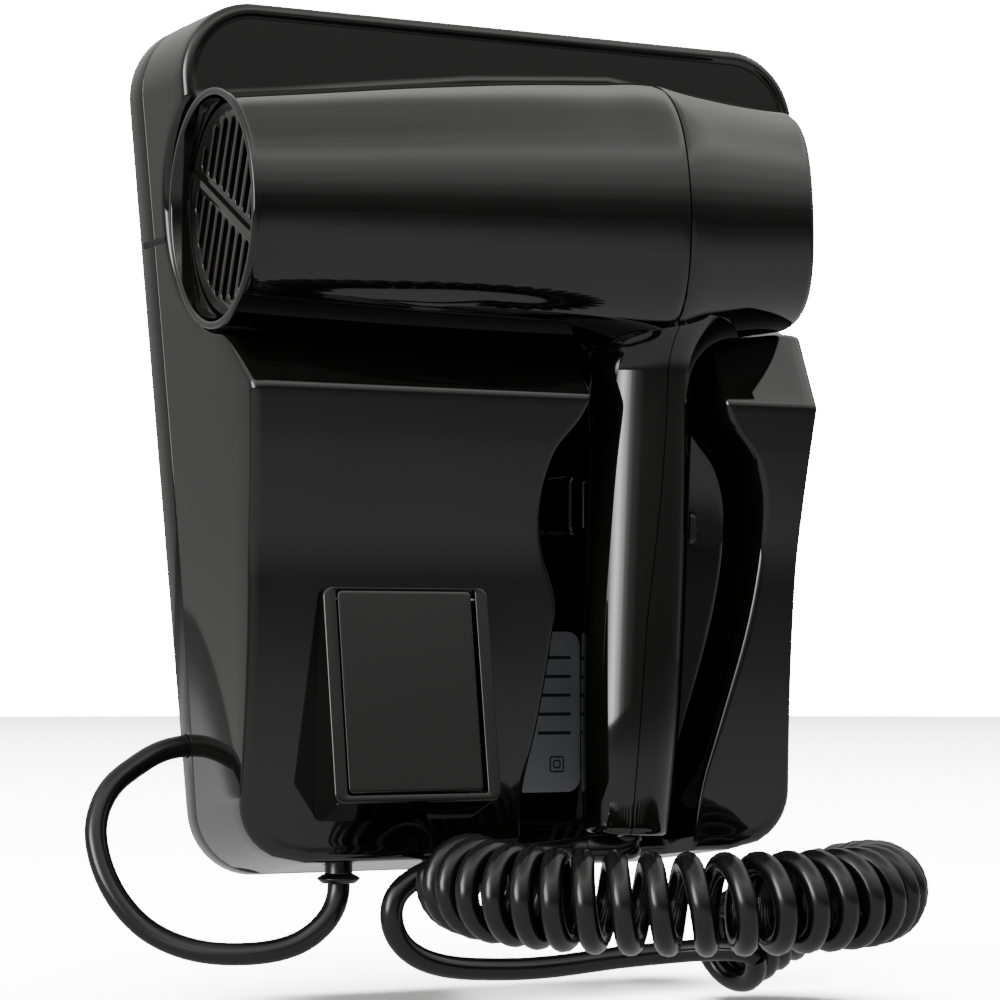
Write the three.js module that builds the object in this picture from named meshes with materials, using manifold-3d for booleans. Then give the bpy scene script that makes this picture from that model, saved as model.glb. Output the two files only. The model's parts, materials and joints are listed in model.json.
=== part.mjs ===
// Wall-mounted hair dryer unit: a holder that hangs on a wall and the pistol-grip dryer it carries.
// Millimetres. X runs to the right, -Y to the front and Z up. The origin is the middle of the flat back.
import * as THREE from 'three';
import { mergeVertices } from 'three/addons/utils/BufferGeometryUtils.js';
import Module from 'manifold-3d';

const wasm = await Module();
wasm.setup();

// ---- driving dimensions of the holder ----
const HEIGHT = 240;
const TOP_WIDTH = 200;
const BOTTOM_WIDTH = 156;
const TOP_CORNER = 25;
const BOTTOM_CORNER = 20;
const SIDE_DRAFT = 0.05;
const BOTTOM_DRAFT = 0.13;
// The sides flare outwards again towards the foot, most of all at the front.
const FOOT_FLARE = 9.9;
const FLARE_START = 10;
const SIDE_STEPS = 10;
const WALL = 2.4;
const GAP = 0.3;
const BACK_FLOOR = 2.5;
const BACK_DEPTH = 11;

// Depth of the front from the wall, at heights from the middle of the back.
const PANEL_DEPTH = 40;
const LIP_Z = 28;
const LIP_DEPTH = 54;
const SHOULDER_Z = 13.6;
const SHOULDER_DEPTH = 68.5;
const WAIST_Z = -31;
const WAIST_DEPTH = 61;
const FOOT_DEPTH = 54.6;

// ---- driving dimensions of the dryer ----
const DRYER_X = 39;
const DRYER_DEPTH = 54;
const DRYER_Z = 65.7;
const BARREL_TILT = THREE.MathUtils.degToRad(2.29);
const HANDLE_TILT = THREE.MathUtils.degToRad(2.57);
const NOZZLE_X = -132.6;
const NOZZLE_RADIUS = 32;
const BARREL_RADIUS = 38.2;
const CAP_RADIUS = 32;
const CAP_X = 43;
const DOME = 11;
const SHELL = 2.2;
const HANDLE_RADIUS = 14.5;
const HANDLE_FOOT_RADIUS = 12;
const HANDLE_END = 173.5;
const TROUGH_CLEARANCE = 3;
const SEAM = 0.3;

// ---- handle recess, rest switch and label ----
const RECESS_FLOOR = 26;
const RECESS_TAPER = 0.8;
const PLUNGER = { x: 24, z: -15, width: 8, height: 18, tip: DRYER_DEPTH - HANDLE_RADIUS + 0.5, travel: 3 };
const LABEL = { x: 20, z: -74, width: 22, height: 46, thick: 0.4 };

// ---- shaver socket and its lid ----
const SOCKET_X = -39.8;
const SOCKET_WIDTH = 48.3;
const SOCKET_TOP = -39.5;
const SOCKET_SILL = -95;
const SOCKET_FOOT = -102;
const SOCKET_RISE_TOP = 1.6;
const SOCKET_RISE_SILL = 14.5;
const LID_WIDTH = 39.4;
const LID_THICK = 2.2;
const LID_PLAY = 0.6;
const HINGE_PIN_RADIUS = 0.8;

// ---- cords ----
const SUPPLY_CORD = 6.2;
const CURLY_WIRE = 6.2;
const CURLY_OUTSIDE = 27;
const SUPPLY_EXIT = { x: -52.5, y: -46 };
const CURLY_EXIT = { x: -21, y: -40 };
const NOTCH_Z = -83;
const NOTCH_Y = -5.9;

// Fixings shared by several pieces.
const SCREW = { radius: 1.5, head: 2.8, headThick: 1.8, length: 16 };
const ROUND = 28;
const BOSS_RADIUS = 3.6;
const BOSSES = [[-80, 107], [80, 107], [-67.5, -98], [64.5, -98]];

// ---- materials ----
const paint = (colour, roughness, metalness = 0) =>
  new THREE.MeshStandardMaterial({ color: colour, roughness, metalness });
const GLOSS = () => paint(0x0b0b0c, 0.08);
const SATIN = () => paint(0x131314, 0.4);
const PVC = () => paint(0x101011, 0.3);
const STEEL = () => paint(0xb8bcc0, 0.3, 1);
const BRASS = () => paint(0xc8a24a, 0.3, 1);
const MICA = () => paint(0xc9b78f, 0.6);
const PHENOLIC = () => paint(0x3a2a20, 0.55);
const LABEL_GREY = () => paint(0xa9adb8, 0.45);

// ---- helpers ----
function solid(geometry) {
  const bare = geometry.index ? geometry.toNonIndexed() : geometry.clone();
  bare.deleteAttribute('normal');
  bare.deleteAttribute('uv');
  const merged = mergeVertices(bare, 1e-4);
  const points = merged.attributes.position.array;
  const faces = [];
  let volume = 0;
  const corners = [new THREE.Vector3(), new THREE.Vector3(), new THREE.Vector3()];
  for (let i = 0; i < merged.index.count; i += 3) {
    const face = [0, 1, 2].map((k) => merged.index.getX(i + k));
    if (face[0] === face[1] || face[1] === face[2] || face[2] === face[0]) continue;
    face.forEach((vertex, k) => corners[k].fromArray(points, vertex * 3));
    volume += corners[0].dot(corners[1].clone().cross(corners[2]));
    faces.push(face);
  }
  if (volume < 0) faces.forEach((face) => face.reverse());
  return new wasm.Manifold(new wasm.Mesh({
    numProp: 3,
    vertProperties: new Float32Array(points),
    triVerts: new Uint32Array(faces.flat()),
  }));
}

function piece(name, shape, material) {
  const data = shape.getMesh();
  const geometry = new THREE.BufferGeometry();
  geometry.setAttribute('position', new THREE.BufferAttribute(data.vertProperties, 3));
  geometry.setIndex(new THREE.BufferAttribute(data.triVerts, 1));
  geometry.computeVertexNormals();
  const mesh = new THREE.Mesh(geometry, material);
  mesh.name = name;
  return mesh;
}

const union = (first, ...rest) => rest.reduce((sum, next) => sum.add(next), first);
const cutAll = (first, ...rest) => rest.reduce((left, next) => left.subtract(next), first);

function box(x0, x1, y0, y1, z0, z1) {
  const geometry = new THREE.BoxGeometry(x1 - x0, y1 - y0, z1 - z0);
  geometry.translate((x0 + x1) / 2, (y0 + y1) / 2, (z0 + z1) / 2);
  return solid(geometry);
}

// A closed outline in X and Z, pushed from y = back to y = front (front is the more negative).
function plateGeometry(outline, back, front, steps = 1) {
  const shape = new THREE.Shape(outline.map(([x, z]) => new THREE.Vector2(x, z)));
  const geometry = new THREE.ExtrudeGeometry(shape, { depth: back - front, bevelEnabled: false, steps });
  geometry.rotateX(Math.PI / 2);
  geometry.translate(0, back, 0);
  return geometry;
}
const plate = (outline, back, front) => solid(plateGeometry(outline, back, front));

// A closed outline in Y and Z, pushed from x = left to x = right.
function bar(outline, left, right) {
  const shape = new THREE.Shape(outline.map(([y, z]) => new THREE.Vector2(y, z)));
  const geometry = new THREE.ExtrudeGeometry(shape, { depth: right - left, bevelEnabled: false });
  const basis = new THREE.Matrix4().makeBasis(
    new THREE.Vector3(0, 1, 0), new THREE.Vector3(0, 0, 1), new THREE.Vector3(1, 0, 0));
  geometry.applyMatrix4(basis);
  geometry.translate(left, 0, 0);
  return solid(geometry);
}

// A round body: [radius, height] pairs turned about the Z axis.
function turned(profile, segments = ROUND) {
  const points = profile.map(([radius, height]) => new THREE.Vector2(radius, height));
  const geometry = new THREE.LatheGeometry([...points, points[0].clone()], segments);
  geometry.rotateX(Math.PI / 2);
  return solid(geometry);
}

function rod(radius, from, to, segments = 14) {
  return turned([[0, from], [radius, from], [radius, to], [0, to]], segments);
}
const ring = (inner, outer, from, to, segments = ROUND) =>
  turned([[inner, from], [outer, from], [outer, to], [inner, to]], segments);

const alongX = (shape) => shape.rotate([0, 90, 0]);
const alongY = (shape) => shape.rotate([90, 0, 0]);

function tube(points, radius, sides, steps) {
  const route = new THREE.CatmullRomCurve3(points.map((p) => new THREE.Vector3(...p)), false, 'centripetal');
  const section = new THREE.Shape();
  section.absarc(0, 0, radius, 0, Math.PI * 2);
  const geometry = new THREE.ExtrudeGeometry(section, {
    steps, extrudePath: route, curveSegments: sides,
  });
  return solid(geometry);
}

// Corners of an outline, each rounded by its own radius.
function rounded(corners, radii, steps = 6) {
  const points = [];
  corners.forEach((corner, i) => {
    const here = new THREE.Vector2(...corner);
    const before = new THREE.Vector2(...corners[(i + corners.length - 1) % corners.length]).sub(here).normalize();
    const after = new THREE.Vector2(...corners[(i + 1) % corners.length]).sub(here).normalize();
    const half = Math.acos(THREE.MathUtils.clamp(before.dot(after), -1, 1)) / 2;
    const reach = radii[i] / Math.tan(half);
    const centre = here.clone().addScaledVector(before.clone().add(after).normalize(), radii[i] / Math.sin(half));
    const start = here.clone().addScaledVector(before, reach).sub(centre);
    const end = here.clone().addScaledVector(after, reach).sub(centre);
    const sweep = Math.atan2(start.x * end.y - start.y * end.x, start.dot(end));
    for (let k = 0; k <= steps; k += 1) {
      const turn = start.clone().rotateAround(new THREE.Vector2(), (sweep * k) / steps);
      points.push([centre.x + turn.x, centre.y + turn.y]);
    }
  });
  return points;
}

// ---- holder shape ----
const halfWidth = (z) => (BOTTOM_WIDTH + (TOP_WIDTH - BOTTOM_WIDTH) * (z / HEIGHT + 0.5)) / 2;
const flare = (z) => FOOT_FLARE * (Math.max(FLARE_START - z, 0) / (FLARE_START + HEIGHT / 2)) ** 2;
const slopeOfFace = (WAIST_DEPTH - FOOT_DEPTH) / (WAIST_Z + HEIGHT / 2);
const faceDepth = (z) => WAIST_DEPTH + slopeOfFace * (z - WAIST_Z);

function holderOutline(inset) {
  const top = HEIGHT / 2 - inset;
  const corners = [
    [-halfWidth(top) + inset, top], [-halfWidth(-top) + inset, -top],
    [halfWidth(-top) - inset, -top], [halfWidth(top) - inset, top],
  ];
  return inSteps(rounded(corners, [TOP_CORNER, BOTTOM_CORNER, BOTTOM_CORNER, TOP_CORNER].map((r) => r - inset)));
}

// The long sides take points between their ends, so that they can flare.
function inSteps(outline) {
  return outline.flatMap(([x, z], k) => {
    const [nextX, nextZ] = outline[(k + 1) % outline.length];
    const steps = Math.abs(nextZ - z) > HEIGHT / 4 ? SIDE_STEPS : 1;
    return Array.from({ length: steps }, (_, i) => [
      x + ((nextX - x) * i) / steps, z + ((nextZ - z) * i) / steps,
    ]);
  });
}

// The sides and the underside lean inwards towards the front.
function drafted(outline, back, front) {
  const geometry = plateGeometry(outline, back, front);
  const place = geometry.attributes.position;
  for (let i = 0; i < place.count; i += 1) {
    const depth = -place.getY(i);
    const z = place.getZ(i);
    const lean = SIDE_DRAFT - flare(z) / FOOT_DEPTH;
    place.setX(i, place.getX(i) * (1 - (lean * depth) / halfWidth(z)));
    if (z < 0) place.setZ(i, z * (1 - (BOTTOM_DRAFT * depth) / (HEIGHT / 2)));
  }
  return solid(geometry);
}

// Side view of the front: panel, lip under the barrel, shoulder and the long front face.
function frontProfile(inset) {
  const past = HEIGHT / 2 + 10;
  return bar([
    [0, past], [0, -past], [inset - faceDepth(-past), -past], [inset - WAIST_DEPTH, WAIST_Z],
    [inset - SHOULDER_DEPTH, SHOULDER_Z - inset / 2], [inset - LIP_DEPTH, LIP_Z - inset / 2],
    [inset - PANEL_DEPTH, LIP_Z + LIP_DEPTH], [inset - PANEL_DEPTH, past],
  ], -TOP_WIDTH, TOP_WIDTH);
}

const barrelProfile = [
  [NOZZLE_RADIUS - 1.4, NOZZLE_X + 5], [32.3, -107.9], [34.7, -78.8], [36.6, -48.8], [37.8, -17.8],
  [BARREL_RADIUS, -5],
];

function inDryer(shape) {
  return shape.translate([DRYER_X, -DRYER_DEPTH, DRYER_Z]);
}
const barrelAxis = (shape) => shape.rotate([0, 90, 0]).rotate([0, THREE.MathUtils.radToDeg(-BARREL_TILT), 0]);
const handleAxis = (shape) => shape.rotate([0, THREE.MathUtils.radToDeg(HANDLE_TILT), 0]);

// The trough follows the barrel and runs out at both ends.
function trough(grow) {
  const wide = [[NOZZLE_RADIUS, NOZZLE_X + 5], ...barrelProfile.slice(1)]
    .map(([radius, along]) => [radius + TROUGH_CLEARANCE + grow, along]);
  const start = NOZZLE_X - 30;
  const shape = turned([
    [0, start], [wide[0][0], start], ...wide, [CAP_RADIUS + TROUGH_CLEARANCE + grow, CAP_X],
    [CAP_RADIUS + TROUGH_CLEARANCE + grow, 90], [0, 90],
  ], 36);
  return inDryer(barrelAxis(shape)).translate([0, 0, TROUGH_CLEARANCE - 2.5 * GAP]);
}

// Recess behind the handle: its mouth follows these points, and its floor is smaller.
function recess(grow) {
  const right = new THREE.SplineCurve([
    [66, 36], [57.5, 22], [54.5, 13], [60, 5], [68, -6], [71.5, -20], [69.5, -42], [62, -70], [54.5, -98], [53, -140],
  ].map(([x, z]) => new THREE.Vector2(x + grow, z)));
  const left = new THREE.SplineCurve([
    [-2, -140], [-1.5, -98], [3.5, -72], [7, -47], [3, -33], [0.5, -20], [3, -4], [10.6, 10], [10.6, 34],
  ].map(([x, z]) => new THREE.Vector2(x - grow, z)));
  const outline = [...right.getPoints(14), ...left.getPoints(16)].map((p) => [p.x, p.y]);
  const middle = 33;
  const geometry = plateGeometry(outline, -RECESS_FLOOR + grow, -100);
  const place = geometry.attributes.position;
  for (let i = 0; i < place.count; i += 1) {
    const offset = place.getX(i) - middle;
    if (place.getY(i) > -50) place.setX(i, middle + offset * (offset > 0 ? RECESS_TAPER : 1));
  }
  return solid(geometry);
}

const socketFront = (z) => {
  const share = (SOCKET_TOP - z) / (SOCKET_TOP - SOCKET_SILL);
  return -(faceDepth(z) + SOCKET_RISE_TOP + (SOCKET_RISE_SILL - SOCKET_RISE_TOP) * share);
};
const LID = {
  left: SOCKET_X - LID_WIDTH / 2, right: SOCKET_X + LID_WIDTH / 2, top: SOCKET_TOP - 2.2, bottom: SOCKET_SILL + 2.5,
};
const HINGE = { y: socketFront(LID.top) + LID_THICK / 2 + 0.1, z: LID.top - LID_THICK / 2 };

function cylinderY(radius, x, z, back, front, segments = 12) {
  return alongY(rod(radius, 0, back - front, segments)).translate([x, back, z]);
}

function backPlate() {
  const tray = drafted(holderOutline(0), 0, -BACK_DEPTH);
  const hollow = drafted(holderOutline(WALL), -BACK_FLOOR, -BACK_DEPTH - 5);
  let shape = tray.subtract(hollow);
  for (const [x, z] of BOSSES) {
    shape = shape.add(cylinderY(BOSS_RADIUS + 1.6, x, z, -0.5, -BACK_DEPTH + 0.5));
    shape = shape.subtract(cylinderY(SCREW.radius + GAP, x, z, 1, -BACK_DEPTH - 2));
    shape = shape.subtract(cylinderY(SCREW.head + GAP, x, z, 1, -SCREW.headThick - 2 * GAP));
  }
  for (const x of [-45, 45]) {
    const head = cylinderY(4.6, x, 78, 1, -BACK_FLOOR - 1);
    const neck = box(x - 2.3, x + 2.3, -BACK_FLOOR - 1, 1, 78, 88);
    const slot = box(x - 2.4, x + 2.4, -BACK_FLOOR - 1, 1, -72, -64);
    shape = cutAll(shape, head, neck, slot);
  }
  const notch = box(-100, -60, NOTCH_Y - SUPPLY_CORD / 2 - GAP, NOTCH_Y + SUPPLY_CORD / 2 + GAP,
    NOTCH_Z - SUPPLY_CORD / 2 - GAP, NOTCH_Z + SUPPLY_CORD / 2 + GAP);
  return shape.subtract(notch.intersect(box(-100, -60, -BACK_DEPTH, -BACK_FLOOR, -100, -60)));
}

const floorOfCover = (y) => -HEIGHT / 2 + BOTTOM_DRAFT * -y;
const plungerBox = (grow) => box(
  PLUNGER.x - PLUNGER.width / 2 - grow, PLUNGER.x + PLUNGER.width / 2 + grow, -PLUNGER.tip, -13,
  PLUNGER.z - PLUNGER.height / 2 - grow, PLUNGER.z + PLUNGER.height / 2 + grow);

function frontCover() {
  const rear = -BACK_DEPTH - GAP;
  const skin = drafted(holderOutline(0), rear, -90).intersect(frontProfile(0));
  const room = drafted(holderOutline(WALL), rear + 5, -90).intersect(frontProfile(WALL));
  const cavity = cutAll(room, trough(WALL), recess(WALL));
  let shape = cutAll(skin, trough(0), recess(0), cavity);
  for (const [x, z] of BOSSES) {
    const reach = z > 0 ? PANEL_DEPTH - WALL / 2 : faceDepth(z) - WALL / 2;
    const post = cylinderY(BOSS_RADIUS, x, z, rear - 2, -reach, 12);
    const bore = cylinderY(SCREW.radius + GAP, x, z, 0, -SCREW.length - 3, 12);
    shape = shape.add(post).subtract(bore);
  }
  const window = box(LID.left + 3, LID.right - 3, -80, -45, LID.bottom + 3, LID.top - 5).add(
    box(LID.left - LID_PLAY, LID.right + LID_PLAY, -80, -45, LID.top - 5, LID.top + LID_PLAY));
  const supplyHole = rod(4.4, -140, -100).translate([SUPPLY_EXIT.x, SUPPLY_EXIT.y, 0]);
  const curlyHole = rod(4.4, -140, -100).translate([CURLY_EXIT.x, CURLY_EXIT.y, 0]);
  return cutAll(shape, window, supplyHole, curlyHole, plungerBox(GAP));
}

// ---- shaver socket ----
function socketHousing() {
  const left = SOCKET_X - SOCKET_WIDTH / 2;
  const right = SOCKET_X + SOCKET_WIDTH / 2;
  const back = (z) => -faceDepth(z) - GAP;
  const wedge = bar([
    [back(SOCKET_TOP), SOCKET_TOP], [socketFront(SOCKET_TOP), SOCKET_TOP],
    [socketFront(SOCKET_SILL), SOCKET_SILL], [socketFront(SOCKET_SILL) + 1, SOCKET_SILL - 1.6],
    [back(SOCKET_FOOT), SOCKET_FOOT],
  ], left, right);
  const well = box(LID.left - LID_PLAY, LID.right + LID_PLAY, -90, -40, LID.bottom - LID_PLAY, LID.top + LID_PLAY);
  const bore = alongX(rod(HINGE_PIN_RADIUS + GAP, LID.left - 3, LID.right + 3)).translate([0, HINGE.y, HINGE.z]);
  return cutAll(wedge, well, bore);
}

function socketLid() {
  const topY = socketFront(LID.top);
  const bottomY = socketFront(LID.bottom);
  const plateShape = bar([
    [HINGE.y, HINGE.z], [topY + 0.1, HINGE.z - 0.4], [bottomY, LID.bottom], [bottomY + LID_THICK, LID.bottom],
    [HINGE.y + LID_THICK / 2, HINGE.z - 1],
  ], LID.left, LID.right);
  const knuckle = alongX(rod(LID_THICK / 2, LID.left, LID.right)).translate([0, HINGE.y, HINGE.z]);
  const bore = alongX(rod(HINGE_PIN_RADIUS + GAP / 2, LID.left - 1, LID.right + 1)).translate([0, HINGE.y, HINGE.z]);
  const springGap = box(SOCKET_X - 5, SOCKET_X + 5, HINGE.y - 3, HINGE.y + 3, HINGE.z - 3, HINGE.z + 3);
  return cutAll(plateShape.add(knuckle), bore, springGap);
}

function lidPin() {
  return alongX(rod(HINGE_PIN_RADIUS, LID.left - 2.6, LID.right + 2.6)).translate([0, HINGE.y, HINGE.z]);
}

function lidSpring() {
  const turns = [-3, -1, 1, 3].map((x) => alongX(ring(HINGE_PIN_RADIUS + GAP / 2, 1.6, x - 0.8, x + 0.8, 10)));
  const core = alongX(ring(HINGE_PIN_RADIUS + GAP / 2, 1.25, -3.8, 3.8, 10));
  return union(core, ...turns).translate([SOCKET_X, HINGE.y, HINGE.z]);
}

const INSERT = { left: LID.left + 4, right: LID.right - 4, bottom: LID.bottom + 4, top: LID.top - 6, front: -57, back: -38 };
const PIN_HOLES = [[-9.5, 0], [9.5, 0]];

function socketInsert() {
  const x = SOCKET_X;
  const z = (INSERT.bottom + INSERT.top) / 2;
  const body = box(INSERT.left, INSERT.right, INSERT.front + 3, INSERT.back, INSERT.bottom, INSERT.top);
  const face = cylinderY(14.5, x, z, INSERT.front + 3.5, INSERT.front, 32);
  const dish = cylinderY(12.5, x, z, INSERT.front + 2, INSERT.front - 1, 32);
  const holes = PIN_HOLES.map(([dx, dz]) => cylinderY(2.6, x + dx * 0.7, z + dz, INSERT.back + 1, INSERT.front - 1));
  return cutAll(body.add(face), dish, ...holes);
}

function socketContact(side) {
  const x = SOCKET_X + side * 9.5 * 0.7;
  const z = (INSERT.bottom + INSERT.top) / 2;
  const sleeve = alongY(ring(1.4, 2.2, 0, 14, 12)).translate([x, INSERT.back - 1, z]);
  const tag = box(x - 1.5, x + 1.5, INSERT.back - 1.6, INSERT.back + 4, z - 0.4, z + 0.4);
  return sleeve.add(tag);
}

// ---- wiring inside the holder ----
const BLOCK = { x0: -54, x1: -28, y0: -18, y1: -BACK_FLOOR - GAP, z0: -100, z1: -90 };

function terminalBlock() {
  let shape = box(BLOCK.x0, BLOCK.x1, BLOCK.y0, BLOCK.y1, BLOCK.z0, BLOCK.z1);
  for (let k = 0; k < 3; k += 1) {
    const x = BLOCK.x0 + 5 + k * 8;
    shape = shape.subtract(rod(1.6, BLOCK.z0 - 1, BLOCK.z1 + 1, 10).translate([x, -9, 0]));
    shape = shape.subtract(cylinderY(1.7, x, (BLOCK.z0 + BLOCK.z1) / 2, -11, -19, 12));
  }
  return shape;
}

function clampBar(exit) {
  const z = floorOfCover(exit.y) + 9;
  const strap = box(exit.x - 10, exit.x + 10, exit.y + 3.6, exit.y + 6.4, z, z + 6);
  const holes = [-7.5, 7.5].map((dx) => cylinderY(1.4, exit.x + dx, z + 3, exit.y + 10, exit.y, 10));
  return cutAll(strap, ...holes);
}

function clampScrew(exit, side) {
  const z = floorOfCover(exit.y) + 12;
  const x = exit.x + side * 7.5;
  const shank = cylinderY(1.1, x, z, exit.y + 7.2, exit.y - 1.5, 10);
  const head = cylinderY(2.4, x, z, exit.y + 8.6, exit.y + 6.7, 14);
  return shank.add(head);
}

// A rubber grommet: neck through the underside, flange below and a thinner flange inside.
function grommet(exit, wire) {
  const z = floorOfCover(exit.y);
  const outer = turned([
    [wire / 2 + GAP, z - 6], [6, z - 6], [6.2, z - 5], [6, z - 2.9], [4.05, z - 2.4], [4.05, z + 3.6],
    [5.4, z + 3.9], [5, z + 6], [wire / 2 + GAP, z + 6],
  ], 12);
  return outer.translate([exit.x, exit.y, 0]);
}

// ---- rest switch ----
function restSwitchBody() {
  const shell = box(PLUNGER.x - 8, PLUNGER.x + 8, -RECESS_FLOOR + WALL + 1.2, -BACK_FLOOR - GAP, -30, 0);
  const bay = box(PLUNGER.x - 5, PLUNGER.x + 5, -40, -BACK_FLOOR - 3, -26, -4);
  return shell.subtract(bay);
}

function restPlunger() {
  const tip = rounded([[-PLUNGER.tip, -1], [-13, -1], [-13, 1], [-PLUNGER.tip, 1]].map(([y, side]) =>
    [y, PLUNGER.z + (side * PLUNGER.height) / 2]), [4, 0.5, 0.5, 4]);
  return bar(tip, PLUNGER.x - PLUNGER.width / 2, PLUNGER.x + PLUNGER.width / 2);
}

function restSpring() {
  const turns = [-11.6, -9.6, -7.6].map((y) => alongY(ring(2.2, 3.4, 0, 0.9, 10)).translate([0, y, 0]));
  const core = alongY(ring(2.5, 3.1, 0, 6.8, 10)).translate([0, -5.9, 0]);
  return union(core, ...turns).translate([PLUNGER.x, 0, PLUNGER.z]);
}

function ratingLabel() {
  const corners = [[-1, 1], [-1, -1], [1, -1], [1, 1]].map(([sx, sz]) =>
    [LABEL.x + (sx * LABEL.width) / 2, LABEL.z + (sz * LABEL.height) / 2]);
  return plate(rounded(corners, [4, 4, 4, 4], 4), -RECESS_FLOOR - GAP, -RECESS_FLOOR - GAP - LABEL.thick);
}

function coverScrew([x, z]) {
  const head = cylinderY(SCREW.head, x, z, -0.4, -0.4 - SCREW.headThick);
  return head.add(cylinderY(SCREW.radius, x, z, -1, -SCREW.length, 12));
}

// ---- dryer ----
function dryerOuter() {
  const barrel = barrelAxis(turned([
    [0, NOZZLE_X], [NOZZLE_RADIUS, NOZZLE_X], [NOZZLE_RADIUS, NOZZLE_X + 3], ...barrelProfile,
    [37, 4.7], [35.4, 14.6], [33.6, 28], [CAP_RADIUS, CAP_X], [CAP_RADIUS - 3, CAP_X + 3], [0, CAP_X + 3],
  ]));
  return union(barrel, handleAxis(handleBody(0))).intersect(rearDome(0));
}

function handleBody(inset) {
  const profile = [
    [HANDLE_FOOT_RADIUS - 1.5, -HANDLE_END + inset], [HANDLE_FOOT_RADIUS, -HANDLE_END + 1.5 + inset],
    [13.4, -150], [HANDLE_RADIUS, -115], [HANDLE_RADIUS, -80], [14.2, -60], [15.2, -46], [17.5, -38], [21, -31],
  ].map(([radius, z]) => [radius - inset, z]);
  return turned([[0, profile[0][1]], ...profile, [0, -31]], 20);
}

// The rear end bulges about an upright axis, so its middle stands behind its sides.
function rearDome(inset) {
  const reach = CAP_X + 2.4 - inset;
  const radius = (CAP_RADIUS ** 2 + DOME ** 2) / (2 * DOME);
  const arc = [];
  for (let k = 0; k <= 16; k += 1) {
    const y = -48 + 6 * k;
    arc.push([reach - radius + Math.sqrt(Math.max(radius ** 2 - y ** 2, 0)), y]);
  }
  const shape = new THREE.Shape([[-300, 48], [-300, -48], ...arc].map(([x, y]) => new THREE.Vector2(x, y)));
  const geometry = new THREE.ExtrudeGeometry(shape, { depth: 300, bevelEnabled: false });
  geometry.translate(0, 0, -220);
  return solid(geometry).rotate([0, -THREE.MathUtils.radToDeg(BARREL_TILT), 0]);
}

function dryerRoom() {
  const start = NOZZLE_X - 1;
  const barrel = barrelAxis(turned([
    [0, start], [NOZZLE_RADIUS - 3, start], ...barrelProfile.map(([r, x]) => [r - SHELL, x]),
    [37 - SHELL, 4.7], [35.4 - SHELL, 14.6], [33.6 - SHELL, 28], [CAP_RADIUS - SHELL, CAP_X - 1],
    [0, CAP_X - 1],
  ]));
  return union(barrel, handleAxis(handleBody(SHELL))).intersect(rearDome(SHELL));
}

// Where the dryer's front and rear shells meet, as a side view in X and Z.
const seamLine = [[-4, 60], [-7, 12], [-7, -12], [-4, -38], [-3, -62], [-8.5, -115], [-12, -185]];

function shellSide(side) {
  const edge = seamLine.map(([x, z]) => [x + (side * SEAM) / 2, z]);
  const far = side * 220;
  return plate([[far, 60], ...edge, [far, -185]], 100, -100);
}

const inletSlots = () => {
  const slots = [];
  for (let k = -3; k <= 3; k += 1) {
    const half = Math.sqrt(22 ** 2 - (k * 7) ** 2);
    slots.push(box(CAP_X - 25, CAP_X + 10, -half, half, k * 7 - 1.6, k * 7 + 1.6));
  }
  return slots;
};

function dryerShell(side) {
  let shape = dryerOuter().subtract(dryerRoom()).intersect(shellSide(side));
  const cordHole = rod(4, -HANDLE_END - 10, -HANDLE_END + 12);
  shape = shape.subtract(handleAxis(cordHole));
  if (side > 0) {
    shape = cutAll(shape, ...inletSlots());
    shape = shape.subtract(handleAxis(box(5, 25, -3.4, 3.4, -98, -76)));
  }
  return shape;
}

function outletGrille() {
  const disc = rod(28, 0, 2, ROUND);
  const spar = THREE.MathUtils.degToRad(-28);
  const slots = [];
  for (const half of [-1, 1]) {
    for (let k = -3; k <= 3; k += 1) {
      const across = k * 6.6;
      const reach = Math.sqrt(25 ** 2 - across ** 2);
      if (reach < 6) continue;
      const low = half > 0 ? 2.2 : -reach;
      const high = half > 0 ? reach : -2.2;
      slots.push(box(low, high, across - 1.7, across + 1.7, -1, 3));
    }
  }
  const plateShape = cutAll(disc, ...slots).rotate([0, 0, 90 + THREE.MathUtils.radToDeg(spar)]);
  return barrelAxis(plateShape.translate([0, 0, NOZZLE_X + 5.5]));
}

function micaTube() {
  return barrelAxis(ring(27.2, 28.2, NOZZLE_X + 10, NOZZLE_X + 82, 20));
}

function heaterFrame() {
  const from = NOZZLE_X + 12;
  const to = NOZZLE_X + 78;
  const blades = [0, 60, 120].map((turn) => box(-20, 20, -0.5, 0.5, from, to).rotate([0, 0, turn]));
  return barrelAxis(union(...blades));
}

function heaterCoil(index) {
  const at = NOZZLE_X + 18 + index * 9;
  return barrelAxis(ring(22, 24.6, at, at + 2.6, 16));
}

function thermostat() {
  const at = NOZZLE_X + 79.5;
  return barrelAxis(rod(5, 0, 3.5, 16).add(rod(2, -0.9, 1, 8)).translate([12, 0, at]));
}

function motor() {
  const can = ring(1.6, 12, -32, -6, 24);
  const back = ring(1.6, 4, -6.5, -4, 16);
  return barrelAxis(can.add(back));
}

function fanRotor() {
  const hub = rod(8, 4, 16, 20);
  const shaft = rod(1.3, -34, 5, 10);
  let shape = hub.add(shaft);
  for (let k = 0; k < 7; k += 1) {
    const blade = box(7, 28.5, -0.8, 0.8, 5, 15);
    shape = shape.add(blade.rotate([0, 0, (k * 360) / 7]));
  }
  return barrelAxis(shape);
}

function motorMount() {
  const sleeve = ring(12.3, 14, -30, -12, 24);
  let shape = sleeve;
  for (let k = 0; k < 6; k += 1) {
    shape = shape.add(box(13.5, 32.5, -0.8, 0.8, -28, -16).rotate([0, 0, 30 + k * 60]));
  }
  return barrelAxis(shape.add(ring(32, 33.4, -28, -16, 24)));
}

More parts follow.
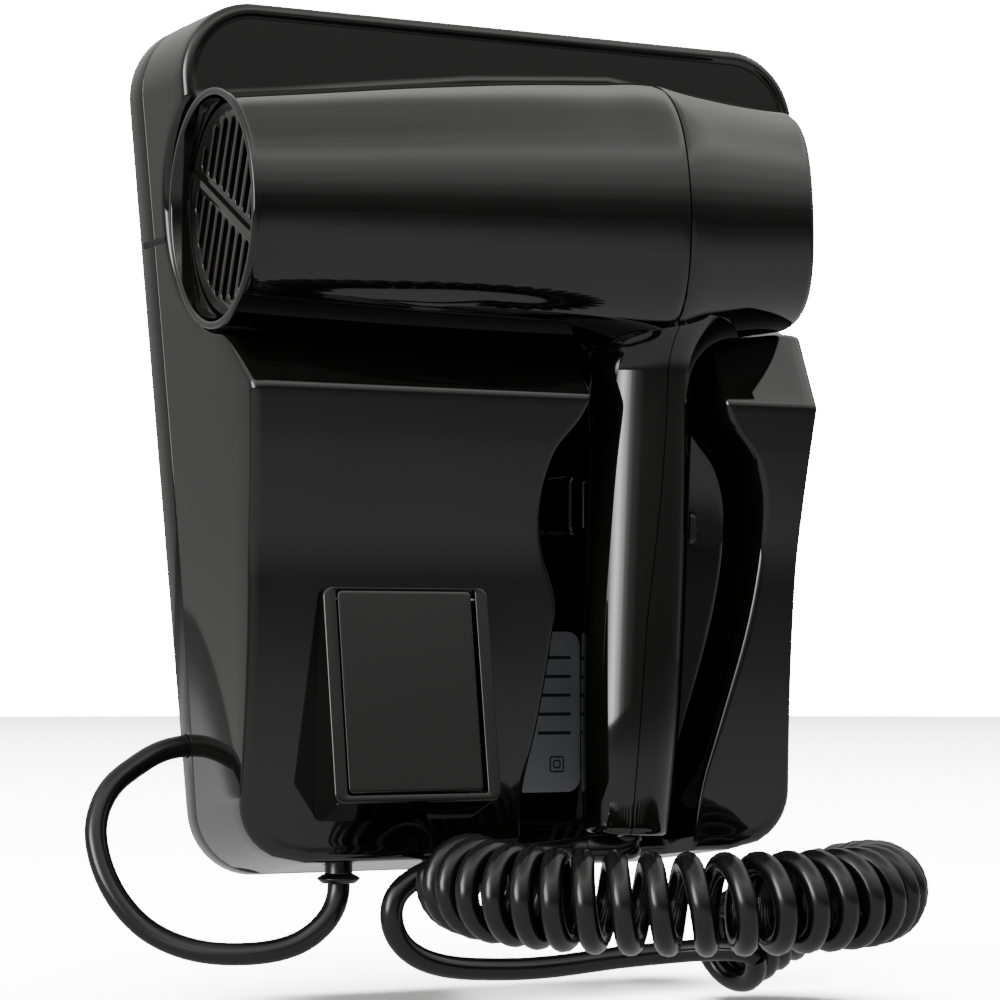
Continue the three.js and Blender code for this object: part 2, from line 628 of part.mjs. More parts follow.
function airScreen() {
  let shape = ring(22, 24, 0, 1.2, 20);
  for (const turn of [0, 45, 90, 135]) shape = shape.add(box(-23, 23, -0.7, 0.7, 0, 1.2).rotate([0, 0, turn]));
  return barrelAxis(shape.translate([0, 0, CAP_X - DOME - 6]));
}

function switchBody() {
  const body = box(-1.5, 8.5, -5, 5, -101, -73);
  const bay = box(4.5, 9, -3.6, 3.6, -98, -76);
  return handleAxis(body.subtract(bay));
}

function switchSlider() {
  const stem = box(5.2, HANDLE_RADIUS + 0.5, -3, 3, -90.5, -83.5);
  const pad = box(HANDLE_RADIUS + 0.5, HANDLE_RADIUS + 2.6, -3.8, 3.8, -92, -82);
  const ridges = [-90, -87, -84].map((z) => box(HANDLE_RADIUS + 2, HANDLE_RADIUS + 3.2, -3.2, 3.2, z - 0.6, z + 0.6));
  return handleAxis(union(stem, pad, ...ridges));
}

// The cord is moulded into a short elbow that leaves the foot of the handle towards the nozzle.
function strainRelief() {
  const elbow = { right: 3.6, left: -13, radius: 3.5 };
  const drop = -HANDLE_END - GAP - elbow.radius;
  const arm = alongX(rod(elbow.radius, elbow.left, elbow.right, 14));
  const end = solid(new THREE.SphereGeometry(elbow.radius, 14, 8)).translate([elbow.right, 0, 0]);
  const stem = rod(3.6, 0, elbow.radius + 6, 14);
  const collar = rod(4.8, elbow.radius + GAP + SHELL + GAP, elbow.radius + 7, 14);
  const level = HANDLE_END * Math.sin(-HANDLE_TILT);
  return union(arm, end, stem, collar).translate([level, 0, drop * Math.cos(HANDLE_TILT)]);
}

// ---- cords ----
const supplyRoute = [
  [-52.5, -46, -112.5], [-52.5, -46, -117], [-52.6, -46.1, -121.4], [-54.2, -46.6, -126], [-58, -46.3, -131], [-63, -44.5, -134.8],
  [-70, -41.5, -137.2], [-77.5, -37.5, -138], [-85.5, -32.5, -137.6], [-92.5, -27.5, -135.6],
  [-98.8, -23, -131.8], [-104, -19.4, -126], [-107.6, -16.2, -119], [-109.4, -13.6, -112],
  [-109.6, -11.4, -105.4], [-107.6, -9.4, -99], [-103.4, -7.8, -93.2], [-97, -6.6, -88.6],
  [-89.5, -6, -84.6], [-82, -5.9, -83], [-71, -5.9, -83],
];
const curlyRoute = [
  [-27.6, -72.6, -117.8], [-30, -84, -118.2], [-27.6, -96, -119.2], [-17.4, -108.6, -120.4],
  [-0.4, -119.6, -121.2], [19.4, -129.2, -121.4], [41, -131.4, -121.4], [61.6, -126.8, -121.2],
  [76, -113.6, -121], [81, -97, -121.8], [76, -82, -125.4], [64, -76, -131.6], [49, -78.6, -138.4],
];
const handleTail = [
  [17.6, -54, -111.4], [13, -54.4, -111.5], [4, -59, -111.9], [-4, -60.8, -112.2], [-13, -61.2, -112.8], [-25, -61.4, -114], [-36, -61, -117.2], [-42.4, -60.4, -123], [-42.6, -60, -130.4],
  [-37.4, -59.6, -137.2], [-28, -59.4, -141.2], [-15, -59.4, -142.8], [-2, -61, -143], [10, -64, -142],
  [21, -67.4, -140.6], [31, -70.6, -139.4],
];
const baseTail = [
  [-25, -66, -126.6], [-25.4, -60, -128], [-24.6, -53, -128.2], [-22.4, -45, -126.2], [-21.2, -40.4, -122.2],
  [-21, -40, -118], [-21, -40, -110],
];

function curlyCord() {
  return tube(curlyRoute, CURLY_OUTSIDE / 2, 6, 24);
}

// ---- assembly ----
const group = new THREE.Group();
const holder = new THREE.Group();
const dryer = new THREE.Group();
const cords = new THREE.Group();
group.add(holder, dryer, cords);
dryer.position.set(DRYER_X, -DRYER_DEPTH, DRYER_Z);

holder.add(piece('back_plate', backPlate(), GLOSS()));
holder.add(piece('front_cover', frontCover(), GLOSS()));
holder.add(piece('socket_housing', socketHousing(), GLOSS()));
holder.add(piece('socket_lid', socketLid(), GLOSS()));
holder.add(piece('lid_hinge_pin', lidPin(), STEEL()));
holder.add(piece('lid_spring', lidSpring(), STEEL()));
holder.add(piece('socket_insert', socketInsert(), SATIN()));
holder.add(piece('socket_contact_left', socketContact(-1), BRASS()));
holder.add(piece('socket_contact_right', socketContact(1), BRASS()));
holder.add(piece('terminal_block', terminalBlock(), PHENOLIC()));
holder.add(piece('rest_switch_body', restSwitchBody(), PHENOLIC()));
holder.add(piece('rest_switch_plunger', restPlunger(), GLOSS()));
holder.add(piece('rest_switch_spring', restSpring(), STEEL()));
holder.add(piece('rating_label', ratingLabel(), LABEL_GREY()));
holder.add(piece('supply_grommet', grommet(SUPPLY_EXIT, SUPPLY_CORD), PVC()));
holder.add(piece('curly_grommet', grommet(CURLY_EXIT, CURLY_WIRE), PVC()));
[['supply', SUPPLY_EXIT], ['curly', CURLY_EXIT]].forEach(([name, exit]) => {
  holder.add(piece(`${name}_clamp_bar`, clampBar(exit), PHENOLIC()));
  [-1, 1].forEach((side, k) => holder.add(piece(`${name}_clamp_screw_${k + 1}`, clampScrew(exit, side), STEEL())));
});
BOSSES.forEach((place, k) => holder.add(piece(`cover_screw_${k + 1}`, coverScrew(place), STEEL())));

dryer.add(piece('dryer_front_shell', dryerShell(-1), GLOSS()));
dryer.add(piece('dryer_rear_shell', dryerShell(1), GLOSS()));
dryer.add(piece('dryer_outlet_grille', outletGrille(), SATIN()));
dryer.add(piece('dryer_mica_tube', micaTube(), MICA()));
dryer.add(piece('dryer_heater_frame', heaterFrame(), MICA()));
for (let k = 0; k < 6; k += 1) dryer.add(piece(`dryer_heater_coil_${k + 1}`, heaterCoil(k), STEEL()));
dryer.add(piece('dryer_thermostat', thermostat(), PHENOLIC()));
dryer.add(piece('dryer_motor', motor(), STEEL()));
dryer.add(piece('dryer_motor_mount', motorMount(), SATIN()));
dryer.add(piece('dryer_fan_rotor', fanRotor(), SATIN()));
dryer.add(piece('dryer_air_screen', airScreen(), STEEL()));
dryer.add(piece('dryer_switch_body', switchBody(), PHENOLIC()));
dryer.add(piece('dryer_switch_slider', switchSlider(), SATIN()));
dryer.add(piece('dryer_strain_relief', strainRelief(), PVC()));

cords.add(piece('supply_cord', tube(supplyRoute, SUPPLY_CORD / 2, 4, 32), PVC()));
cords.add(piece('curly_cord', curlyCord(), PVC()));
cords.add(piece('curly_cord_handle_tail', tube(handleTail, CURLY_WIRE / 2, 4, 30), PVC()));
cords.add(piece('curly_cord_base_tail', tube(baseTail, CURLY_WIRE / 2, 4, 14), PVC()));

export default group;
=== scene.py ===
"""Wall-mounted hair dryer unit: a gloss black holder, the dryer in its cradle and both cords.

Outlines are written in millimetres in the frame's own axes: X to the right, -Y out of the wall, Z up.
"""
import json
import math

import bmesh
import bpy
import numpy as np
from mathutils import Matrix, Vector


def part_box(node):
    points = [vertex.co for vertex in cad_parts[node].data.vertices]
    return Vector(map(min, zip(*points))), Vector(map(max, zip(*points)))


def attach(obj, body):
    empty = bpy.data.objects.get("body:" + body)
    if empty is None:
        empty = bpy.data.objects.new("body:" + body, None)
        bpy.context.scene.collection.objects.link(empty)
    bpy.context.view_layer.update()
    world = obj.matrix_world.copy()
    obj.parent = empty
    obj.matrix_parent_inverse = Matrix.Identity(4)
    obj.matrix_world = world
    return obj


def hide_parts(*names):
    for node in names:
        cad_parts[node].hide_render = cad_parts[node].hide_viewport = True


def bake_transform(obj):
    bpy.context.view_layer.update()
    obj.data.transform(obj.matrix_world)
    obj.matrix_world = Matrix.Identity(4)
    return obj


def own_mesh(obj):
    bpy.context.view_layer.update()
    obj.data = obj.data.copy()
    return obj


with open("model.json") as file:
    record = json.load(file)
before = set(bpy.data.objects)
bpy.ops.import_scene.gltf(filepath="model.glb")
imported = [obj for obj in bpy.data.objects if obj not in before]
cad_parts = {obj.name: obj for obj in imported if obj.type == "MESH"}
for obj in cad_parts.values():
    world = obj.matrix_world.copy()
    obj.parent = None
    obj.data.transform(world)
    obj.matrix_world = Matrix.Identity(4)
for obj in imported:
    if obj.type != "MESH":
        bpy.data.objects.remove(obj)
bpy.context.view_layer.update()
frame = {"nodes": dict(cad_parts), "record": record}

bl_info = {
    "name": "Hair Dryer Unit",
    "version": (1, 0, 0),
    "blender": (4, 5, 0),
    "location": "View3D > Sidebar > Dryer Unit",
    "description": "Builds a wall-mounted hair dryer holder with its dryer and cords",
    "category": "Add Mesh",
}

MM = 0.001


# ---- settings a user would change ----
class HolderSizes(bpy.types.PropertyGroup):
    height: bpy.props.FloatProperty(name="Height", description="Holder height", default=0.240, unit="LENGTH")
    top_width: bpy.props.FloatProperty(name="Top width", description="Width at the top", default=0.200,
                                       unit="LENGTH")
    bottom_width: bpy.props.FloatProperty(name="Bottom width", description="Width at the foot",
                                          default=0.156, unit="LENGTH")
    top_corner: bpy.props.FloatProperty(name="Top corners", description="Radius of the top corners",
                                        default=0.0215, unit="LENGTH")
    bottom_corner: bpy.props.FloatProperty(name="Bottom corners",
                                           description="Radius of the bottom corners", default=0.020,
                                           unit="LENGTH")
    back_depth: bpy.props.FloatProperty(name="Back plate", description="Depth of the back plate",
                                        default=0.011, unit="LENGTH")
    panel_depth: bpy.props.FloatProperty(name="Panel depth", description="Depth of the top panel",
                                         default=0.040, unit="LENGTH")
    recess_floor: bpy.props.FloatProperty(name="Recess floor", description="Depth left behind the handle",
                                          default=0.026, unit="LENGTH")
    edge: bpy.props.FloatProperty(name="Edge", description="Radius of the front edge", default=0.0025,
                                  unit="LENGTH")


class DryerSizes(bpy.types.PropertyGroup):
    nozzle_radius: bpy.props.FloatProperty(name="Nozzle radius", description="Outside of the nozzle rim",
                                           default=0.032, unit="LENGTH")
    handle_flare: bpy.props.FloatProperty(name="Handle flare",
                                          description="Fillet between handle and barrel", default=0.009,
                                          unit="LENGTH")
    seam: bpy.props.FloatProperty(name="Seam", description="Gap between the two shells", default=0.0003,
                                  unit="LENGTH")


class CordSizes(bpy.types.PropertyGroup):
    supply: bpy.props.FloatProperty(name="Supply cord", description="Supply cord diameter", default=0.0062,
                                    unit="LENGTH")
    wire: bpy.props.FloatProperty(name="Coiled cord", description="Diameter of the coiled cord's wire",
                                  default=0.0062, unit="LENGTH")
    coil: bpy.props.FloatProperty(name="Coil", description="Outside diameter of the coil", default=0.027,
                                  unit="LENGTH")


class Finish(bpy.types.PropertyGroup):
    gloss_colour: bpy.props.FloatVectorProperty(name="Gloss", description="High-gloss plastic",
                                                subtype="COLOR", size=3, default=(0.0045, 0.0045, 0.0042))
    cord_colour: bpy.props.FloatVectorProperty(name="Cord", description="Cord sheath", subtype="COLOR",
                                               size=3, default=(0.006, 0.006, 0.006))
    label_colour: bpy.props.FloatVectorProperty(name="Label", description="Rating label film",
                                                subtype="COLOR", size=3, default=(0.24, 0.25, 0.28))
    floor_colour: bpy.props.FloatVectorProperty(name="Floor", description="Studio floor", subtype="COLOR",
                                                size=3, default=(0.86, 0.86, 0.86))


def sizes(kind):
    """The chosen group's lengths, in millimetres."""
    group = getattr(bpy.context.scene, kind)
    return {name: getattr(group, name) / MM for name in group.__annotations__}


# ---- materials ----
def new_material(name, colour, roughness, metallic=0.0, coat=0.0, specular=0.5):
    """A principled material with its tree, shader and a position in metres, ready for detail nodes."""
    material = bpy.data.materials.new(name)
    material.use_nodes = True
    tree = material.node_tree
    shader = tree.nodes["Principled BSDF"]
    shader.inputs["Base Color"].default_value = (*colour, 1)
    shader.inputs["Roughness"].default_value = roughness
    shader.inputs["Metallic"].default_value = metallic
    shader.inputs["Coat Weight"].default_value = coat
    shader.inputs["Coat Roughness"].default_value = 0.03
    shader.inputs["Specular IOR Level"].default_value = specular
    place = tree.nodes.new("ShaderNodeTexCoord")
    return material, tree, shader, place.outputs["Object"]


def noise(tree, place, scale, detail=3.0, stretch=(1, 1, 1)):
    """Soft noise in the surface's own space."""
    mapping = tree.nodes.new("ShaderNodeMapping")
    mapping.inputs["Scale"].default_value = stretch
    tree.links.new(place, mapping.inputs["Vector"])
    node = tree.nodes.new("ShaderNodeTexNoise")
    node.inputs["Scale"].default_value = scale
    node.inputs["Detail"].default_value = detail
    tree.links.new(mapping.outputs["Vector"], node.inputs["Vector"])
    return node.outputs["Fac"]


def spread(tree, value, low=0.0, high=1.0, start=0.0, end=1.0):
    """The value, spread from start and end out to low and high."""
    node = tree.nodes.new("ShaderNodeMapRange")
    for name, number in (("From Min", start), ("From Max", end), ("To Min", low), ("To Max", high)):
        node.inputs[name].default_value = number
    tree.links.new(value, node.inputs["Value"])
    return node.outputs["Result"]


def ramp(tree, value, stops, curve="LINEAR"):
    """A colour for the value, from (position, colour) stops."""
    node = tree.nodes.new("ShaderNodeValToRGB")
    node.color_ramp.interpolation = curve
    elements = node.color_ramp.elements
    while len(elements) < len(stops):
        elements.new(0.5)
    for element, (position, _) in zip(elements, stops):
        element.position = position
    for element, (_, colour) in zip(elements, stops):
        element.color = (*colour, 1)
    tree.links.new(value, node.inputs["Fac"])
    return node.outputs["Color"]


def mixed(tree, factor, first, kind="MIX"):
    """A colour mix of the first with whatever its second socket is given, as (second socket, result)."""
    node = tree.nodes.new("ShaderNodeMix")
    node.data_type, node.blend_type = "RGBA", kind
    tree.links.new(factor, node.inputs["Factor"])
    tree.links.new(first, node.inputs[6])
    return node.inputs[7], node.outputs[2]


def relief(tree, shader, height, strength, distance):
    """A bump on the shader from a height."""
    bump = tree.nodes.new("ShaderNodeBump")
    bump.inputs["Strength"].default_value = strength
    bump.inputs["Distance"].default_value = distance
    tree.links.new(height, bump.inputs["Height"])
    tree.links.new(bump.outputs["Normal"], shader.inputs["Normal"])


def shade(colour, share):
    """The colour made darker or lighter."""
    return tuple(channel * share for channel in colour)


def moulded(name, colour, roughness, swing, grain_scale, grain, depth, coat=0.0):
    """Moulded plastic or sheath: colour drift, uneven gloss and a fine surface grain."""
    material, tree, shader, place = new_material(name, colour, roughness, coat=coat)
    drift = ramp(tree, noise(tree, place, 35, 2), ((0.3, shade(colour, 0.85)), (0.7, shade(colour, 1.15))))
    tree.links.new(drift, shader.inputs["Base Color"])
    tree.links.new(spread(tree, noise(tree, place, 70, 4), roughness - swing, roughness + swing),
                   shader.inputs["Roughness"])
    relief(tree, shader, noise(tree, place, grain_scale, 2), grain, depth)
    return material


def metal(name, colour, roughness, stretch):
    """Drawn or stamped metal with streaks along its working direction."""
    material, tree, shader, place = new_material(name, colour, roughness, metallic=1.0)
    streaks = noise(tree, place, 900, 3, stretch)
    drift = ramp(tree, streaks, ((0.3, shade(colour, 0.85)), (0.7, colour)))
    tree.links.new(drift, shader.inputs["Base Color"])
    tree.links.new(spread(tree, streaks, roughness * 0.7, roughness * 1.4), shader.inputs["Roughness"])
    relief(tree, shader, streaks, 0.08, 0.00004)
    return material


def make_finishes():
    finish = bpy.context.scene.unit_finish
    gloss, cord = tuple(finish.gloss_colour), tuple(finish.cord_colour)
    return {
        "gloss_black": moulded("gloss_black_plastic", gloss, 0.045, 0.012, 160, 0.02, 0.00002, coat=0.35),
        "satin_black": moulded("satin_black_plastic", (0.012, 0.012, 0.0125), 0.32, 0.05, 2600, 0.15,
                               0.00003),
        "black_pvc": moulded("black_pvc_sheath", cord, 0.2, 0.04, 900, 0.06, 0.00003),
        "phenolic_brown": moulded("brown_phenolic", (0.055, 0.028, 0.016), 0.5, 0.08, 1500, 0.15, 0.00004),
        "mica": moulded("pressed_mica", (0.5, 0.42, 0.28), 0.45, 0.12, 600, 0.3, 0.00006),
        "label_grey": moulded("label_film", tuple(finish.label_colour), 0.42, 0.04, 1800, 0.05, 0.00002),
        "label_ink": moulded("label_ink", (0.008, 0.009, 0.016), 0.5, 0.04, 2000, 0.04, 0.00002),
        # painted shade: a near-black finish that stands in for the shadow inside the latch groove
        "gap_black": moulded("latch_painted_shade", (0.0008, 0.0008, 0.0008), 0.6, 0.05, 2000, 0.04, 0.00002),
        "steel": metal("drawn_steel", (0.56, 0.57, 0.58), 0.26, (1, 1, 12)),
        "brass": metal("stamped_brass", (0.72, 0.52, 0.24), 0.3, (1, 12, 1)),
    }


# ---- mesh helpers ----
def new_piece(name, points, faces, slot, body, replaces=(), sharp=38):
    """A mesh piece from points in millimetres, shaded smooth up to the sharp angle, riding on its body."""
    mesh = bpy.data.meshes.new(name)
    mesh.from_pydata((np.asarray(points, float) * MM).tolist(), [], faces)
    mesh.validate()
    piece = bpy.data.objects.new(name, mesh)
    bpy.context.scene.collection.objects.link(piece)
    return dress(tidy_mesh(piece, sharp), slot, body, replaces)


def tidy_mesh(piece, sharp=38):
    """Merges doubled points, turns faces outwards and sets smooth shading."""
    work = bmesh.new()
    work.from_mesh(piece.data)
    bmesh.ops.remove_doubles(work, verts=work.verts, dist=2e-6)
    bmesh.ops.dissolve_degenerate(work, edges=work.edges, dist=1e-6)
    bmesh.ops.recalc_face_normals(work, faces=work.faces)
    work.to_mesh(piece.data)
    work.free()
    piece.data.shade_smooth()
    piece.data.set_sharp_from_angle(angle=math.radians(sharp))
    return piece


def dress(piece, slot, body, replaces=()):
    """Gives a piece its finish, its body and the nodes that it stands for."""
    piece.data.materials.clear()
    piece.data.materials.append(FINISHES[slot])
    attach(piece, body)
    if replaces:
        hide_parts(*replaces)
    return piece


def baked(piece):
    """Turns a piece's modifiers into its mesh."""
    graph = bpy.context.evaluated_depsgraph_get()
    mesh = bpy.data.meshes.new_from_object(piece.evaluated_get(graph))
    piece.modifiers.clear()
    piece.data = mesh
    return piece


def thickened(piece, thickness):
    """Gives a skin a wall, inwards."""
    modifier = piece.modifiers.new("wall", "SOLIDIFY")
    modifier.thickness = thickness * MM
    modifier.offset = -1
    return baked(piece)


def cut(piece, solids, sharp=38):
    """Cuts closed solids, given as (points, faces) in millimetres, out of a closed piece."""
    points, faces = joined(*solids)
    mesh = bpy.data.meshes.new("cutter")
    mesh.from_pydata((np.asarray(points) * MM).tolist(), [], faces)
    cutter = bpy.data.objects.new("cutter", mesh)
    bpy.context.scene.collection.objects.link(cutter)
    tidy_mesh(cutter)
    modifier = piece.modifiers.new("cut", "BOOLEAN")
    modifier.operation, modifier.solver, modifier.object = "DIFFERENCE", "EXACT", cutter
    baked(piece)
    bpy.data.objects.remove(cutter)
    piece.data.shade_smooth()
    piece.data.set_sharp_from_angle(angle=math.radians(sharp))
    return piece


def joined(*parts):
    """Several (points, faces) as one."""
    points, faces = [], []
    for some_points, some_faces in parts:
        base = len(points)
        points.extend(map(tuple, some_points))
        faces.extend([base + i for i in face] for face in some_faces)
    return points, faces


def rings_mesh(rings, closed=True, cap_start=False, cap_end=False):
    """Quads between equal-length rings of points; closed joins each ring's ends."""
    count = len(rings[0])
    faces = []
    for r in range(len(rings) - 1):
        for k in range(count if closed else count - 1):
            n = (k + 1) % count
            faces.append([r * count + k, r * count + n, (r + 1) * count + n, (r + 1) * count + k])
    if cap_start:
        faces.append(list(range(count))[::-1])
    if cap_end:
        faces.append([(len(rings) - 1) * count + k for k in range(count)])
    return [tuple(p) for ring in rings for p in ring], faces


def capped(rings):
    """A closed solid through rings of points, with both ends filled."""
    return rings_mesh(rings, cap_start=True, cap_end=True)


def full_turn(count):
    """Evenly spaced angles once round."""
    return np.arange(count) * 2 * math.pi / count


def rounded_path(points, radii, steps=6):
    """An open polyline with its inner corners rounded."""
    out = [np.array(points[0], float)]
    for before, here, after, radius in zip(points, points[1:], points[2:], radii[1:]):
        here = np.array(here, float)
        a = np.array(before, float) - here
        b = np.array(after, float) - here
        a, b = a / np.linalg.norm(a), b / np.linalg.norm(b)
        half = math.acos(np.clip(a @ b, -1, 1)) / 2
        reach = radius / math.tan(half)
        start, end = here + a * reach, here + b * reach
        centre = here + (a + b) / np.linalg.norm(a + b) * radius / math.sin(half)
        turn = math.pi - 2 * half
        for k in range(steps + 1):
            share = k / steps
            arc = math.sin((1 - share) * turn) * (start - centre) + math.sin(share * turn) * (end - centre)
            out.append(centre + arc / math.sin(turn))
    out.append(np.array(points[-1], float))
    return out


def spline(knots, values, at):
    """Natural cubic spline through (knots, values), read at any array of places."""
    knots, values = np.array(knots, float), np.array(values, float)
    n = len(knots)
    gap = np.diff(knots)
    system, right = np.eye(n), np.zeros(n)
    for i in range(1, n - 1):
        system[i, i - 1:i + 2] = gap[i - 1], 2 * (gap[i - 1] + gap[i]), gap[i]
        right[i] = 6 * ((values[i + 1] - values[i]) / gap[i] - (values[i] - values[i - 1]) / gap[i - 1])
    bend = np.linalg.solve(system, right)
    at = np.clip(at, knots[0], knots[-1])
    i = np.clip(np.searchsorted(knots, at) - 1, 0, n - 2)
    h, left, far = gap[i], at - knots[i], knots[i + 1] - at
    curve = (bend[i] * far ** 3 + bend[i + 1] * left ** 3) / (6 * h)
    return curve + (values[i] / h - bend[i] * h / 6) * far + (values[i + 1] / h - bend[i + 1] * h / 6) * left


def smooth_line(points, spacing):
    """A smooth curve through points, with evenly spaced samples."""
    points = np.array(points, float)
    along = np.concatenate([[0], np.cumsum(np.linalg.norm(np.diff(points, axis=0), axis=1))])
    fine = np.linspace(0, along[-1], int(along[-1] / spacing * 4) + 8)
    curve = np.stack([spline(along, points[:, k], fine) for k in range(3)], 1)
    length = np.concatenate([[0], np.cumsum(np.linalg.norm(np.diff(curve, axis=0), axis=1))])
    even = np.linspace(0, length[-1], max(int(length[-1] / spacing), 8))
    return np.stack([np.interp(even, length, curve[:, k]) for k in range(3)], 1)


def frames_along(path):
    """Tangent and two turning-free side vectors at each point of a path."""
    tangent = np.gradient(path, axis=0)
    tangent /= np.linalg.norm(tangent, axis=1)[:, None]
    side = np.cross(tangent[0], (0.0, 0.0, 1.0) if abs(tangent[0][2]) < 0.9 else (1.0, 0.0, 0.0))
    sides = []
    for t in tangent:
        side = side - (side @ t) * t
        side = side / np.linalg.norm(side)
        sides.append(side)
    sides = np.array(sides)
    return tangent, sides, np.cross(tangent, sides)


def tube(path, radius, around=14):
    """A closed round tube along a path; radius is one number or one for each point."""
    _, side, other = frames_along(path)
    radius = np.broadcast_to(radius, len(path))
    angle = full_turn(around)
    rings = []
    for p, s, o, r in zip(path, side, other, radius):
        rings.append(p + r * (np.cos(angle)[:, None] * s + np.sin(angle)[:, None] * o))
    return capped(rings)


def box_solid(x0, x1, y0, y1, z0, z1):
    rings = [[(x0, y, z0), (x1, y, z0), (x1, y, z1), (x0, y, z1)] for y in (y0, y1)]
    return capped(rings)


def rod_y(x, z, radius, y0, y1, around=32):
    angle = full_turn(around)
    rings = [[(x + radius * math.cos(a), y, z + radius * math.sin(a)) for a in angle] for y in (y0, y1)]
    return capped(rings)


def rod_x(y, z, radius, x0, x1, around=32):
    angle = full_turn(around)
    rings = [[(x, y + radius * math.cos(a), z + radius * math.sin(a)) for a in angle] for x in (x0, x1)]
    return capped(rings)


def lathe_z(profile, centre, around=48):
    """A ring of (radius, height) points turned about an upright axis, as a closed band."""
    angle = full_turn(around)
    rings = [[(centre[0] + r * math.cos(a), centre[1] + r * math.sin(a), h) for a in angle] for r,
             h in profile]
    return rings_mesh(rings + [rings[0]])


def rounded_rectangle(x0, x1, z0, z1, radius, steps=8):
    """Corner points of a rectangle in X and Z with round corners, anticlockwise."""
    out = []
    for cx, cz, start in ((x1 - radius, z1 - radius, 0), (x0 + radius, z1 - radius, 90),
                          (x0 + radius, z0 + radius, 180), (x1 - radius, z0 + radius, 270)):
        for k in range(steps + 1):
            a = math.radians(start + 90 * k / steps)
            out.append((cx + radius * math.cos(a), cz + radius * math.sin(a)))
    return out


# ---- the holder's outline, before its sides lean in ----
SIDE_DRAFT, BOTTOM_DRAFT = 0.05, 0.13
FOOT_FLARE, FLARE_START = 9.9, 10
WALL = 2.4
GAP = 0.3


class Outline:
    """Half width and outward normal of the holder at any height, inset by any distance."""

    def __init__(self):
        s = sizes("holder_sizes")
        self.top = s["height"] / 2
        self.slope = (s["top_width"] - s["bottom_width"]) / 2 / s["height"]
        self.lean = math.atan(self.slope)
        self.middle = (s["top_width"] + s["bottom_width"]) / 4
        self.upper, self.lower = s["top_corner"], s["bottom_corner"]
        self.upper_centre = self.corner_centre(self.top - self.upper, self.upper)
        self.lower_centre = self.corner_centre(self.lower - self.top, self.lower)

    def side(self, z):
        return self.middle + self.slope * z

    def corner_centre(self, z, radius):
        return self.side(z) - radius / math.cos(self.lean), z

    def half_width(self, z, inset):
        width = self.side(z) - inset / math.cos(self.lean)
        for (cx, cz), radius, sign in ((self.upper_centre, self.upper, 1),
                                       (self.lower_centre, self.lower, -1)):
            r = radius - inset
            inside = np.maximum(r * r - (z - cz) ** 2, 0)
            past = (z - (cz - r * math.sin(self.lean))) * sign > 0
            width = np.where(past, cx + np.sqrt(inside), width)
        return width

    def normal(self, x, z, inset):
        """Outward normal on the right-hand half; x is positive."""
        for (cx, cz), radius, sign in ((self.upper_centre, self.upper, 1),
                                       (self.lower_centre, self.lower, -1)):
            r = radius - inset
            if (z - (cz - r * math.sin(self.lean))) * sign > 0:
                away = np.array([max(x - cx, 0.0), z - cz])
                return away / np.linalg.norm(away)
        return np.array([math.cos(self.lean), -math.sin(self.lean)])

    def lean_at(self, z, depth):
        """Share of its width that the outline keeps at a depth: it leans in, and flares at the foot."""
        flare = FOOT_FLARE * (np.maximum(FLARE_START - z, 0) / (FLARE_START + self.top)) ** 2
        return 1 - (SIDE_DRAFT - flare / FOOT[1]) * depth / self.side(z)

    def drafted(self, x, z, depth):
        """Place in the frame of an outline point at a depth from the wall."""
        return (x * self.lean_at(z, depth), -depth,
                np.where(z < 0, z * (1 - BOTTOM_DRAFT * depth / self.top), z))

    def loop(self, inset, steps=14, along=24):
        """The whole outline as (x, z, normal), anticlockwise from the middle of the top."""
        right = []
        for k in range(steps):
            right.append((self.upper_centre[0] * k / steps, self.top - inset))
        for (cx, cz), radius, a0, a1 in ((self.upper_centre, self.upper, 90, -math.degrees(self.lean)),
                                         (self.lower_centre, self.lower, -math.degrees(self.lean), -90)):
            for k in range(steps + 1):
                a = math.radians(a0 + (a1 - a0) * k / steps)
                right.append((cx + (radius - inset) * math.cos(a), cz + (radius - inset) * math.sin(a)))
            if a0 == 90:
                (x0, z0), low = right[-1], math.radians(-math.degrees(self.lean))
                x1 = self.lower_centre[0] + (self.lower - inset) * math.cos(low)
                z1 = self.lower_centre[1] + (self.lower - inset) * math.sin(low)
                right.extend((x0 + (x1 - x0) * k / along, z0 + (z1 - z0) * k / along)
                             for k in range(1, along))
        for k in range(1, steps):
            right.append((self.lower_centre[0] * (1 - k / steps), inset - self.top))
        return right + [(0.0, inset - self.top)] + [(-x, z) for x, z in right[1:]][::-1]


# Side view of the front below the cradle, as (height, depth) from the foot to the lip.
FOOT, WAIST, SHOULDER, LIP_DEPTH = (-120, 54.6), (-33.2, 61), (13.6, 68.5), 54
TROUGH_RADIUS = ([-131, -107.9, -78.8, -48.8, -17.8, -5, 14.6, 28, 43],
                 [33.6, 34.6, 37.3, 39.6, 40.8, 41.2, 38.2, 35.2, 33.2])
TROUGH_LIFT = ([-131, -107.9, -78.8, -48.8, 0, 14.6, 28, 43], [0.85, 1.55, 1.85, 2.25, 2.25, 2.1, 1.4, 0.9])
AXIS = np.array([39, -54, 65.7])
BARREL_TILT, HANDLE_TILT = math.radians(2.29), math.radians(2.57)
RECESS_LEFT = ([-120, -105, -93.6, -83, -72, -60.7, -50.6, -44, -38, -32.7, -24.5, -15, -6, 0, 5.5, 12, 20,
                30, 130],
               [-1.5, -1.8, -1.6, 0.7, 3, 4.8, 6.2, 6.6, 5.2, 3, 0.7, 0.3, 2.2, 4.9, 9.6, 13.2, 14.6, 15, 15])
RECESS_RIGHT = ([-120, -103, -94, -82, -70, -52.3, -40.6, -29, -20.5, -12, -6, 0, 5, 9.6, 14, 22, 30, 130],
                [52.6, 53.7, 55, 58.4, 62.1, 67.3, 69.8, 71.3, 71.5, 70.7, 68.8, 65.2, 60.4, 57.4, 56.4,
                 57.2, 58, 58])


